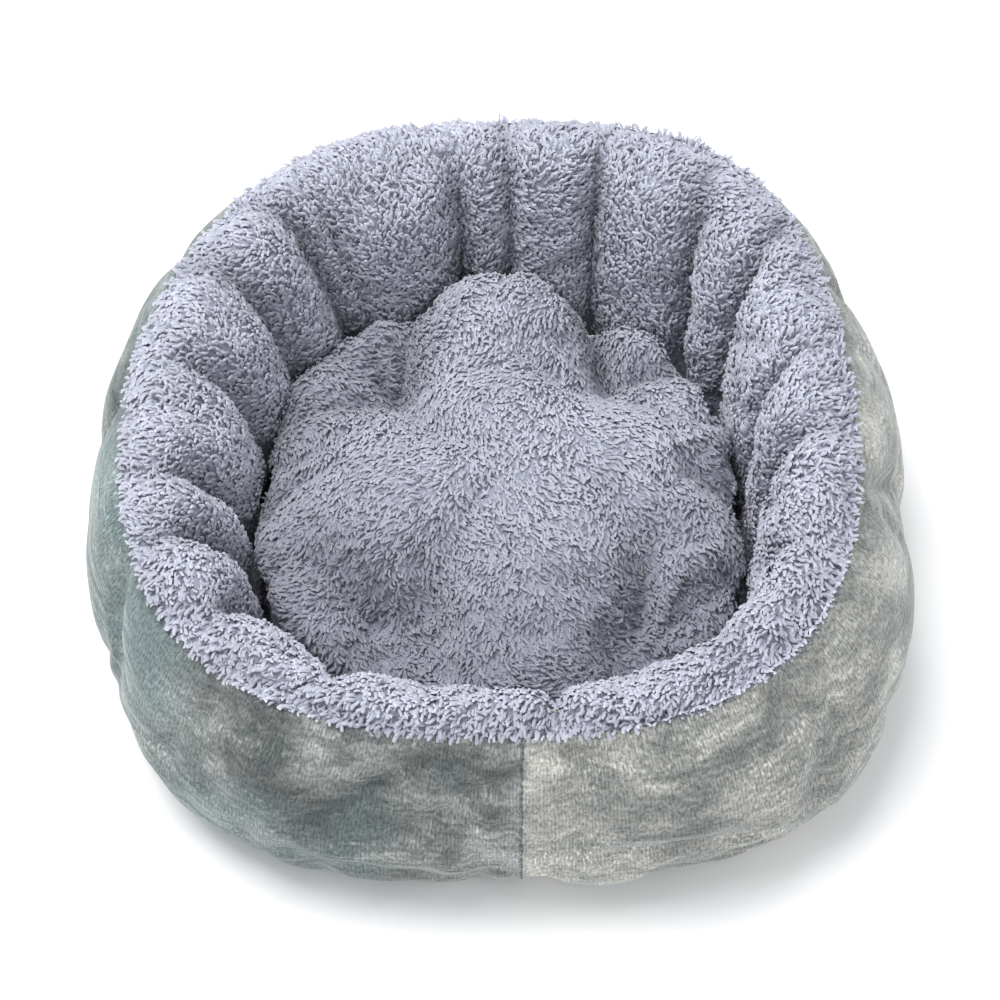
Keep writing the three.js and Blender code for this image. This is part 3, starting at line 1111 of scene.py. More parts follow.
    def patch(self, name: str, columns: Array, rows: Array) -> bpy.types.Object:
        """Makes a sheet of the grid as its own mesh, with a cloth map in metres.

        Args:
            name: The piece's name.
            columns: The grid's columns that it spans, in order.
            rows: The grid's rows that it spans, in order.

        Returns:
            The new object.
        """
        work = bmesh.new()
        bmesh.ops.create_grid(
            work, x_segments=len(columns) - 1, y_segments=len(rows) - 1, size=1, calc_uvs=False
        )
        cloth = work.loops.layers.uv.new("cloth")
        wide = 2 * math.pi * self.outer_radius * len(columns) / self.columns
        tall = self.panel_height * (len(rows) - 1) / self.rim_row
        for face in work.faces:
            for loop in face.loops:
                x, y = loop.vert.co.x, loop.vert.co.y
                loop[cloth].uv = ((x + 1) / 2 * wide, (y + 1) / 2 * tall)
        for vert in work.verts:
            i = columns[round((vert.co.x + 1) / 2 * (len(columns) - 1))]
            k = rows[round((vert.co.y + 1) / 2 * (len(rows) - 1))]
            vert.co = Vector(self.points[i, k])
        return piece_from(name, work)

    def half(self, side: Side) -> Array:
        """The grid's columns of one half, from seam to seam."""
        back = self.columns * 3 // 4
        front = self.columns // 4
        if side is Side.RIGHT:
            return np.arange(front, back + 1)
        return np.arange(back, front + self.columns + 1) % self.columns


# ---------------------------------------------------------------- small shapes, repeated


@dataclass
class Pod:
    """A small closed shape, drawn out along a path, that is repeated many times.

    Its skin is a coarse ball whose poles are the path's two ends.
    """

    sides: int
    rings: int
    ball: Array = field(init=False)
    along: Array = field(init=False)
    corners: Array = field(init=False)
    starts: Array = field(init=False)
    chart: Array = field(init=False)

    def __post_init__(self) -> None:
        """Makes the ball and the map of its faces."""
        work = bmesh.new()
        bmesh.ops.create_uvsphere(work, u_segments=self.sides, v_segments=self.rings, radius=1)
        work.verts.index_update()
        self.ball = np.array([v.co for v in work.verts])
        self.along = (1 + self.ball[:, 2]) / 2
        corners, starts, chart = [], [], []
        for face in work.faces:
            starts.append(len(corners))
            middle = face.calc_center_median()
            cell = math.floor(math.atan2(middle.y, middle.x) / (2 * math.pi) * self.sides)
            for vert in face.verts:
                turned = math.atan2(vert.co.y, vert.co.x) / (2 * math.pi) * self.sides
                at_pole = math.hypot(vert.co.x, vert.co.y) < 1e-4
                side = 0.5 if at_pole else 1.0 if (turned - cell) % self.sides > 0.5 else 0.0
                corners.append(vert.index)
                chart.append(((cell % self.sides + side) / self.sides, self.along[vert.index]))
        work.free()
        self.corners, self.starts = np.array(corners), np.array(starts)
        self.chart = np.array(chart)

    def drawn(self, path: Array, width: Array) -> Array:
        """Draws the ball out along a path in the upright plane of its first axis.

        Args:
            path: Places along the path, evenly spaced from root to tip.
            width: Half width at each of those places.

        Returns:
            The shape's points.
        """
        steps = np.linspace(0, 1, len(path))
        spine = np.stack([np.interp(self.along, steps, path[:, k]) for k in range(3)], -1)
        heading = unit(np.gradient(path, axis=0))
        heading = unit(np.stack([np.interp(self.along, steps, heading[:, k]) for k in range(3)], -1))
        side = unit(np.cross(np.array([0.0, 0.02, 1.0]), heading))
        up = np.cross(heading, side)
        round_way = unit(np.where(np.abs(self.ball[:, :2]) < 1e-4, 0, self.ball[:, :2]) + 1e-9)
        reach = np.interp(self.along, steps, width)[:, None]
        reach = reach * (np.hypot(self.ball[:, 0], self.ball[:, 1]) > 1e-3)[:, None]
        return spine + reach * (round_way[:, :1] * side + round_way[:, 1:] * up)

    def repeat(
        self, name: str, shapes: Array, which: Array, places: Array, turns: Array, tones: Array,
        softness: float = 0.0,
    ) -> bpy.types.Object:
        """Makes one mesh of many copies.

        Args:
            name: The piece's name.
            shapes: The drawn shapes to choose from.
            which: Each copy's shape.
            places: Each copy's root.
            turns: Each copy's three axes, as the columns of a matrix, with their scale.
            tones: Each copy's brightness.
            softness: How far each copy is shaded like the cloth it stands on, from 0 to 1.

        Returns:
            The new object, with its copies spread out over its map named OFBake.
        """
        count, points = len(places), shapes.shape[1]
        spots = np.einsum("nij,npj->npi", turns, shapes[which]) + places[:, None, :]
        mesh = bpy.data.meshes.new(name)
        mesh.vertices.add(count * points)
        mesh.loops.add(count * len(self.corners))
        mesh.polygons.add(count * len(self.starts))
        mesh.vertices.foreach_set("co", spots.astype(np.float32).ravel())
        copies = np.arange(count)[:, None]
        corners = self.corners + copies * points
        starts = self.starts + copies * len(self.corners)
        mesh.loops.foreach_set("vertex_index", corners.astype(np.int32).ravel())
        mesh.polygons.foreach_set("loop_start", starts.astype(np.int32).ravel())
        mesh.update(calc_edges=True)
        shading = {"along": np.tile(self.along, count), "tone": np.repeat(tones, points)}
        for label, values in shading.items():
            layer = mesh.attributes.new(label, "FLOAT", "POINT")
            layer.data.foreach_set("value", values.astype(np.float32))
        side = math.ceil(math.sqrt(count))
        cell = np.stack([copies[:, 0] % side, copies[:, 0] // side], -1)[:, None, :]
        atlas = (cell + 0.06 + 0.88 * self.chart[None]) / side
        layer = mesh.uv_layers.new(name="OFBake")
        layer.uv.foreach_set("vector", atlas.astype(np.float32).ravel())
        mesh.shade_smooth()
        if softness:
            lifted = np.repeat(unit(turns[:, :, 2]), points, axis=0)
            blended = unit((1 - softness) * corner_normals(mesh) + softness * lifted)
            mesh.normals_split_custom_set_from_vertices(blended.tolist())
        piece = bpy.data.objects.new(name, mesh)
        bpy.context.scene.collection.objects.link(piece)
        return piece


def tree_of(places: Array) -> KDTree:
    """Sorts places so that near ones are found quickly."""
    tree = KDTree(len(places))
    for index, place in enumerate(places.tolist()):
        tree.insert(place, index)
    tree.balance()
    return tree


def axes_from(ahead: Array, up: Array, scale: Array) -> Array:
    """Matrices whose columns are ahead, sideways and up, scaled.

    Args:
        ahead: First direction of each matrix.
        up: Third direction; the first is squared up to it.
        scale: Scale of the three axes, one row for each matrix or one for all.

    Returns:
        One matrix for each row.
    """
    up = unit(up)
    ahead = unit(ahead - np.sum(ahead * up, -1, keepdims=True) * up)
    side = np.cross(up, ahead)
    return np.stack([ahead, side, up], -1) * np.asarray(scale)[..., None, :]


@dataclass
class Stitches:
    """Rows of small separate stitches along the seams."""

    pitch_mm: float = 4.2
    length_mm: float = 3.0
    radius_mm: float = 0.42
    pod: Pod = field(default_factory=lambda: Pod(5, 5))

    def row(self, name: str, line: Array, up: Array, closed: bool) -> bpy.types.Object:
        """Sews one row.

        Args:
            name: The piece's name.
            line: Places along the seam.
            up: Outward direction at each place.
            closed: True if the line ends where it starts.

        Returns:
            The row's stitches as one mesh.
        """
        if closed:
            line, up = np.concatenate([line, line[:1]]), np.concatenate([up, up[:1]])
        gone = np.concatenate([[0], np.cumsum(np.linalg.norm(np.diff(line, axis=0), axis=1))])
        count = int(gone[-1] / (self.pitch_mm * MM))
        wanted = (np.arange(count) + 0.5) * gone[-1] / count
        places = np.stack([np.interp(wanted, gone, line[:, k]) for k in range(3)], -1)
        lifts = unit(np.stack([np.interp(wanted, gone, up[:, k]) for k in range(3)], -1))
        half = gone[-1] / count / 2
        ends = np.stack([np.interp(wanted + half, gone, line[:, k]) for k in range(3)], -1)
        steps = np.linspace(-0.5, 0.5, 9)
        rise = 0.25 * np.cos(math.pi * steps)
        path = np.stack([steps * self.length_mm, 0 * steps, rise], -1) * MM
        width = self.radius_mm * MM * np.sqrt(np.clip(1 - (2 * steps) ** 4, 0.02, 1))
        shape = self.pod.drawn(path, width)[None]
        turns = axes_from(ends - places, lifts, np.ones(3))
        return self.pod.repeat(name, shape, np.zeros(count, int), places, turns, np.ones(count))


@dataclass(frozen=True)
class Nap:
    """How the locks of one stretch of fleece lie.

    Below the sheltered height, where the cushion hides them, they are fewer and shorter.
    """

    spacing_mm: float
    length_mm: float
    height_mm: float
    width_mm: float
    swirl_deg: float
    swirl_per_m: float
    jitter_deg: float
    sheltered_mm: float
    # Brightness of this stretch's locks, set for how light falls on it: painted light and shade.
    tone: float = 1.0

    def shelter(self, places: Array) -> Array:
        """How far each place is hidden by the cushion, from 0 to 1."""
        low, high = (self.sheltered_mm - 6) * MM, (self.sheltered_mm + 6) * MM
        return 1 - smooth_step(places[:, 2], low, high)


@dataclass(frozen=True)
class Tufts:
    """Many locks: where they stand, how they are turned and scaled, and their shade."""

    roots: Array
    normals: Array
    turns: Array
    tones: Array
    which: Array
    shelter: Array

    def chosen(self, picks: Array) -> "Tufts":
        """The same for some of the locks only."""
        return Tufts(
            self.roots[picks], self.normals[picks], self.turns[picks], self.tones[picks],
            self.which[picks], self.shelter[picks],
        )


@dataclass
class Fleece:
    """Curly locks of sherpa, rooted all over a backing.

    The sizes of a lock and of its wisps are shares of the nap's own sizes.
    """

    variants: int = 6
    locks_per_piece: int = 8000
    wisps_per_piece: int = 12000
    # How much darker a lock is painted at full mask, in folds, dents and off the cushion's lit middle:
    # painted shade.
    painted_shade_strength: float = 0.38
    softness: float = 0.5
    sheltered_gap: float = 0.8
    sheltered_trim: float = 0.35
    clump_mm: float = 1.2
    clumps_per_m: float = 95.0
    wisp_share: float = 0.72
    wisp_size: tuple[float, float, float] = (1.4, 0.4, 1.35)
    wisp_turn_deg: float = 50.0
    wisp_lift_mm: float = 0.6
    wisp_tone: float = 1.06
    lean: float = 0.14
    sunk_mm: float = 0.5
    pod: Pod = field(default_factory=lambda: Pod(3, 5))
    wisp: Pod = field(default_factory=lambda: Pod(3, 3))
    random: np.random.Generator = field(default_factory=lambda: np.random.default_rng(SEED))
    shapes: Array = field(init=False)
    wisps: Array = field(init=False)

    def __post_init__(self) -> None:
        """Draws the variants of the locks and of the fine wisps between them."""
        self.shapes = self.draw(self.pod, 0.25, 0.7)
        self.wisps = self.draw(self.wisp, 0.6, 0.15)

    def draw(self, pod: Pod, taper: float, bluntness: float) -> Array:
        """Draws variants of one lock, one unit long, high and wide.

        Args:
            pod: The shape that is drawn out.
            taper: How much thinner the tip is than the root, as a share.
            bluntness: How full the tip is, from 0 to 1.

        Returns:
            The variants' points.
        """
        steps = np.linspace(0, 1, 13)
        made = []
        for _ in range(self.variants):
            sway, phase = self.random.uniform(0.04, 0.16), self.random.uniform(0, 2 * math.pi)
            tuck = self.random.uniform(0.66, 0.88)
            ahead = steps - 0.1 * np.sin(2 * math.pi * steps)
            sideways = sway * (np.sin(phase + 1.6 * math.pi * steps) - math.sin(phase))
            height = np.sin(math.pi * tuck * steps) ** 0.8 - 0.12 * (1 - steps)
            full = np.sin(math.pi * (0.12 + (0.6 + 0.14 * bluntness) * steps)) ** 0.4
            width = 0.5 * full * (1 - taper * steps)
            made.append(pod.drawn(np.stack([ahead, sideways, 0.5 * height], -1), 0.4 * width))
        return np.array(made)

    def roots(self, skin: bpy.types.Object, nap: Nap) -> tuple[Array, Array]:
        """Spreads roots over a skin, none nearer to another than the nap's spacing.

        Args:
            skin: The backing's mesh.
            nap: How the locks lie.

        Returns:
            The roots' places and the outward directions there.
        """
        mesh = skin.data
        mesh.calc_loop_triangles()
        corners = np.empty(len(mesh.loop_triangles) * 3, np.int32)
        mesh.loop_triangles.foreach_get("vertices", corners)
        corners = corners.reshape(-1, 3)
        spots, ways = read_points(mesh), corner_normals(mesh)
        a, b, c = (spots[corners[:, k]] for k in range(3))
        area = np.linalg.norm(np.cross(b - a, c - a), axis=1) / 2
        spacing = nap.spacing_mm * MM
        count = int(3.0 * area.sum() / spacing**2)
        chosen = self.random.choice(len(area), count, p=area / area.sum())
        u, v = self.random.random((2, count))
        over = u + v > 1
        u, v = np.where(over, 1 - u, u), np.where(over, 1 - v, v)
        weights = np.stack([1 - u - v, u, v], -1)[..., None]
        places = (spots[corners[chosen]] * weights).sum(1)
        normals = unit((ways[corners[chosen]] * weights).sum(1))
        tree = tree_of(places)
        kept = np.ones(count, bool)
        gaps = (spacing * (1 + self.sheltered_gap * nap.shelter(places))).tolist()
        for index, place in enumerate(places.tolist()):
            if kept[index]:
                for _, near, _ in tree.find_range(place, gaps[index]):
                    if near > index:
                        kept[near] = False
        return places[kept], normals[kept]

    def comb(self, places: Array, normals: Array, nap: Nap, axis: Array | None) -> Array:
        """Lays the locks along the cloth, in swirls.

        Args:
            places: The locks' roots.
            normals: Outward directions there.
            nap: How the locks lie.
            axis: A place on the upright line that combed locks lie across, or nothing
                where they lie towards the front.

        Returns:
            The direction in which each lock lies.
        """
        sideways = np.tile([1.0, 0.0, 0.0], (len(places), 1))
        if axis is not None:
            sideways = np.cross([0.0, 0.0, 1.0], places - axis)
        ahead = unit(np.cross(sideways, normals))
        turn = nap.swirl_deg * noise_at(places, nap.swirl_per_m, 2.0)
        turn += 0.6 * nap.swirl_deg * noise_at(places, 3.5 * nap.swirl_per_m, 8.0)
        turn += self.random.normal(0, nap.jitter_deg, len(places))
        spin = np.radians(turn)[:, None]
        return ahead * np.cos(spin) + np.cross(normals, ahead) * np.sin(spin)

    def plant(
        self, skin: bpy.types.Object, nap: Nap, axis: Array | None, painted_shade_mask: Callable[[Array], Array]
    ) -> Tufts:
        """Settles where every lock of a skin stands and how it is turned and shaded.

        Args:
            skin: The backing's mesh.
            nap: How the locks lie.
            axis: As in comb.
            painted_shade_mask: Tells how deep in a fold each place is, from 0 to 1, and so how much
                painted shade its lock gets.

        Returns:
            The locks.
        """
        places, normals = self.roots(skin, nap)
        order = np.argsort(np.arctan2(places[:, 1], places[:, 0]), kind="stable")
        places, normals = places[order], normals[order]
        ahead = self.comb(places, normals, nap, axis)
        count, shelter = len(places), nap.shelter(places)
        lean = self.random.normal(0, self.lean, (count, 3))
        size = self.random.uniform(0.78, 1.2, (count, 1))
        size *= 1 - self.sheltered_trim * shelter[:, None]
        scale = size * np.array([nap.length_mm, nap.width_mm * 2.5, nap.height_mm * 2.0]) * MM
        scale *= self.random.uniform(0.88, 1.12, (count, 3))
        turns = axes_from(ahead, normals + lean, scale)
        # Each lock is darkened by the mask where it lies in a fold or a dent or off the cushion's lit
        # middle: painted shade.
        tones = nap.tone * self.random.uniform(0.9, 1.1, count) * (1 - self.painted_shade_strength * painted_shade_mask(places))
        which = self.random.integers(0, self.variants, count)
        clumps = self.clump_mm * noise_at(places, self.clumps_per_m, 12.0)
        roots = places + normals * (clumps - self.sunk_mm)[:, None] * MM
        return Tufts(roots, normals, turns, tones, which, shelter)

    def scatter(self, tufts: Tufts) -> Tufts:
        """Lays fine wisps among the locks: flat slivers with no height, each turned its own way.

        Args:
            tufts: The locks.

        Returns:
            The wisps.
        """
        share = self.wisp_share * (1 - tufts.shelter)
        loose = tufts.chosen(np.flatnonzero(self.random.random(len(tufts.roots)) < share))
        count = len(loose.roots)
        turns = loose.turns * np.array(self.wisp_size)
        spin = np.radians(self.random.normal(0, self.wisp_turn_deg, count))
        flat_turn = np.zeros((count, 3, 3))
        flat_turn[:, 0, 0] = flat_turn[:, 1, 1] = np.cos(spin)
        flat_turn[:, 0, 1], flat_turn[:, 1, 0] = -np.sin(spin), np.sin(spin)
        frames = unit(np.swapaxes(turns, 1, 2))
        sizes = np.linalg.norm(turns, axis=1, keepdims=True)
        turns = np.swapaxes(frames, 1, 2) @ flat_turn * sizes
        roots = loose.roots + loose.normals * self.wisp_lift_mm * MM
        tones = self.wisp_tone * loose.tones
        return Tufts(roots, loose.normals, turns, tones, loose.which, loose.shelter)

    def split(
        self, name: str, pod: Pod, shapes: Array, tufts: Tufts, most: int
    ) -> list[bpy.types.Object]:
        """Makes pieces of fleece, none with more than so many tufts.

        Args:
            name: The pieces' name, before their number.
            pod: The shape that is repeated.
            shapes: Its drawn variants.
            tufts: Where the copies stand.
            most: The most tufts in a piece.

        Returns:
            The pieces.
        """
        count = len(tufts.roots)
        pieces = []
        for number, share in enumerate(np.array_split(np.arange(count), math.ceil(count / most)), 1):
            part = tufts.chosen(share)
            pieces.append(pod.repeat(
                f"{name}_{number}", shapes, part.which, part.roots, part.turns, part.tones,
                self.softness,
            ))
        return pieces

    def grow(
        self, name: str, skin: bpy.types.Object, nap: Nap, axis: Array | None,
        painted_shade_mask: Callable[[Array], Array],
    ) -> list[bpy.types.Object]:
        """Roots locks and wisps all over a skin.

        Args:
            name: The pieces' name, before their number.
            skin: The backing's mesh.
            nap: How the locks lie.
            axis: As in comb.
            painted_shade_mask: Tells how deep in a fold each place is, from 0 to 1, and so how much
                painted shade its lock gets.

        Returns:
            The pieces of fleece.
        """
        tufts = self.plant(skin, nap, axis, painted_shade_mask)
        locks = self.split(name, self.pod, self.shapes, tufts, self.locks_per_piece)
        loose = self.scatter(tufts)
        return locks + self.split(f"{name}_wisps", self.wisp, self.wisps, loose, self.wisps_per_piece)


# ---------------------------------------------------------------- parts of the bed


def ring_reach(ring: Array) -> tuple[Array, Callable[[Array], Array]]:
    """Reads a closed ring seen from above.

    Args:
        ring: Places round it.

    Returns:
        Its middle, and a function that gives its radius in any direction from there.
    """
    middle = ring.mean(0)
    offset = ring - middle
    turned = np.arctan2(offset[:, 1], offset[:, 0])
    order = np.argsort(turned)
    radius = np.hypot(offset[:, 0], offset[:, 1])[order]
    return middle, lambda way: np.interp(way, turned[order], radius, period=2 * math.pi)


def ring_disc(name: str, ring: Array, height: Array, cells: int) -> bpy.types.Object:
    """Makes a flat sheet inside a closed ring.

    Args:
        name: The piece's name.
        ring: Places round the rim, evenly turned from -180 degrees.
        height: Height of the sheet.
        cells: Cells across the sheet.

    Returns:
        The new object, facing up.
    """
    work = bmesh.new()
    bmesh.ops.create_grid(work, x_segments=cells, y_segments=cells, size=1)
    middle, reach = ring_reach(ring)
    for vert in work.verts:
        x, y = vert.co.x, vert.co.y
        way = math.atan2(y, x)
        out = max(abs(x), abs(y)) * reach(way)
        vert.co = (middle[0] + out * math.cos(way), middle[1] + out * math.sin(way), height)
    return piece_from(name, work)


@dataclass
class VelvetPanels:
    """The two outer panels of velvet, from the base seam up to the rim seam."""

    wall: WallForm
    materials: dict[Side, bpy.types.Material]
    flat: tuple[float, float] = (0.71, 0.18)
    thickness_mm: float = 1.4
    pucker_mm: float = 0.8
    pucker_pitch_mm: float = 17.0
    pucker_reach_mm: float = 26.0
    drape_mm: float = 0.8
    drapes_per_m: tuple[float, float] = (22.0, 34.0)

    def build(self) -> None:
        """Cuts, gathers and dresses both panels."""
        for side in Side:
            rows = np.arange(self.wall.rim_row + 1)
            panel = refine(self.wall.patch(f"panel_{side.value}", self.wall.half(side), rows), 1)
            self.gather(panel)
            thicken(panel, self.thickness_mm * MM)
            dress(panel, self.materials[side], Body.BED, (f"outer_panel_{side.value}",))

    def gather(self, panel: bpy.types.Object) -> None:
        """Adds the small puckers that the seams draw in the cloth."""
        mesh = panel.data
        flat = np.zeros((len(mesh.vertices), 2))
        layer = np.empty(len(mesh.loops) * 2, np.float32)
        mesh.uv_layers["cloth"].uv.foreach_get("vector", layer)
        owners = np.empty(len(mesh.loops), np.int32)
        mesh.loops.foreach_get("vertex_index", owners)
        flat[owners] = layer.reshape(-1, 2)
        tall = self.wall.panel_height
        reach = self.pucker_reach_mm * MM
        near_rim = np.exp(-(((tall - flat[:, 1]) / reach) ** 2))
        near_base = np.exp(-((flat[:, 1] / reach) ** 2))
        across = np.stack([flat[:, 0] / (self.pucker_pitch_mm * MM), 1.3 * flat[:, 1] / reach], -1)
        folds = noise_at(np.column_stack([across, np.zeros(len(across))]), 1.0, 5.0)
        wide = np.column_stack([flat * self.drapes_per_m, np.zeros(len(flat))])
        drape = self.drape_mm * noise_at(wide, 1.0, 1.0)
        lift = (self.pucker_mm * folds * (near_rim + 0.4 * near_base) + drape) * MM
        free = smooth_step(np.minimum(flat[:, 1], tall - flat[:, 1]), 0, 6 * MM)
        write_points(mesh, read_points(mesh) + corner_normals(mesh) * (lift * free)[:, None])


@dataclass
class SherpaLining:
    """The sherpa that rolls over the crest and down into the nest."""

    wall: WallForm
    backing: bpy.types.Material
    pile: bpy.types.Material
    fleece: Fleece
    flat: tuple[float, float] = (0.62, 0.21)
    thickness_mm: float = 1.0
    # Crease depth at which the lining's painted shade is full.
    full_depth_mm: float = 14.0
    # The lining's locks are painted at 0.93 of full brightness, lighter than the cushion's: painted
    # light and shade.
    nap: Nap = Nap(
        spacing_mm=1.75, length_mm=4.3, height_mm=2.4, width_mm=2.5, swirl_deg=100.0,
        swirl_per_m=10.0, jitter_deg=34.0, sheltered_mm=66.0, tone=0.93,
    )

    def build(self) -> None:
        """Cuts both halves and grows their fleece."""
        for side in Side:
            rows = np.arange(self.wall.rim_row, self.wall.floor_row + 1)
            skin = self.wall.patch(f"lining_{side.value}", self.wall.half(side), rows)
            grown = self.fleece.grow(
                f"lining_pile_{side.value}", skin, self.nap, self.wall.centre(), self.painted_shade_mask
            )
            for piece in grown:
                dress(piece, self.pile, Body.BED)
            thicken(skin, self.thickness_mm * MM)
            dress(skin, self.backing, Body.BED, (f"wall_lining_{side.value}",))

    def painted_shade_mask(self, places: Array) -> Array:
        """How deep in a crease of the wall each place is, from 0 to 1: the mask of the lining's painted
        shade.
        """
        rows = slice(self.wall.rim_row, self.wall.floor_row)
        spots = self.wall.points[:, rows].reshape(-1, 3)
        depth = self.wall.creased[:, rows].ravel()
        tree = tree_of(spots)
        nearest = [tree.find(place)[1] for place in places.tolist()]
        return np.clip(depth[nearest] / (self.full_depth_mm * MM), 0, 1)


@dataclass
class Stuffing:
    """The fibre ring inside the wall."""

    wall: WallForm
    material: bpy.types.Material
    inset_mm: float = 3.4

    def build(self) -> None:
        """Shrinks the wall's form away from its skins."""
        piece, column, row = self.wall.closed_skin()
        piece.name = piece.data.name = "stuffing"
        inset = self.wall.normals()[column, row] * self.inset_mm * MM
        write_points(piece.data, read_points(piece.data) - inset)
        dress(piece, self.material, Body.BED, ("wall_filling",))


@dataclass
class Base:
    """Base cloth with grip dots, a wadding sheet and the nest's floor cloth."""

    wall: WallForm
    cloth: bpy.types.Material
    grip: bpy.types.Material
    wadding: bpy.types.Material
    floor_cloth: bpy.types.Material
    flat: tuple[float, float] = (0.43, 0.42)
    floor_flat: tuple[float, float] = (0.3, 0.3)
    dot_pitch_mm: float = 14.0
    dot_radius_mm: float = 2.4
    dot_margin_mm: float = 12.0
    clear_mm: float = 0.5
    base_top_mm: float = 1.7
    wadding_mm: float = 5.4
    wadding_top_mm: float = 7.6
    floor_mm: float = 0.9
    floor_top_mm: float = 8.8

    def build(self) -> None:
        """Makes the layers from the bottom up."""
        rim = self.wall.points[:, 0]
        low = self.clear_mm * MM
        base = refine(ring_disc("base_sheet", rim, self.base_top_mm * MM, 36), 1)
        thicken(base, self.base_top_mm * MM - low)
        dress(base, self.cloth, Body.BED, ("base_cloth",))
        dress(self.dots(rim, low), self.grip, Body.BED)
        inner = self.wall.points[:, self.wall.floor_row]
        wadding = refine(ring_disc("wadding_sheet", inner, self.wadding_top_mm * MM, 24), 1)
        thicken(wadding, self.wadding_mm * MM)
        dress(wadding, self.wadding, Body.BED, ("base_wadding",))
        floor = refine(ring_disc("nest_floor", inner, self.floor_top_mm * MM, 24), 1)
        thicken(floor, self.floor_mm * MM)
        dress(floor, self.floor_cloth, Body.BED, ("floor_lining",))

    def dots(self, rim: Array, low: float) -> bpy.types.Object:
        """Prints the grip dots on the underside.

        Args:
            rim: The base cloth's edge.
            low: Height of the cloth's underside.

        Returns:
            All the dots as one mesh.
        """
        pod = Pod(6, 4)
        steps = np.linspace(-1, 1, 9)
        radius = self.dot_radius_mm * MM
        path = np.stack([steps * radius, 0 * steps, 0 * steps], -1)
        disc = pod.drawn(path, radius * np.sqrt(np.clip(1 - steps**2, 0, 1)))
        disc[:, 2] *= low / radius
        pitch = self.dot_pitch_mm * MM
        middle, reach = ring_reach(rim)
        across = np.arange(-20, 21)
        x, y = np.meshgrid(across * pitch, across * pitch * math.sqrt(3) / 2)
        x = x + (np.arange(len(across)) % 2)[:, None] * pitch / 2
        spots = np.stack([x.ravel(), y.ravel()], -1)
        edge = reach(np.arctan2(spots[:, 1], spots[:, 0])) - self.dot_margin_mm * MM
        spots = spots[np.hypot(spots[:, 0], spots[:, 1]) < edge] + middle[:2]
        places = np.column_stack([spots, np.full(len(spots), low)])
        turns = np.repeat(np.eye(3)[None], len(places), 0)
        count = len(places)
        return pod.repeat("grip_dots", disc[None], np.zeros(count, int), places, turns, np.ones(count))


@dataclass(frozen=True)
class Bulge:
    """A soft rise of the cushion's top, in millimetres seen from above."""

    middle: tuple[float, float]
    height_mm: float
    spread_mm: float


@dataclass(frozen=True)
class Groove:
    """A straight dent across the cushion's top, in millimetres seen from above."""

    start: tuple[float, float]
    end: tuple[float, float]
    depth_mm: float
    width_mm: float


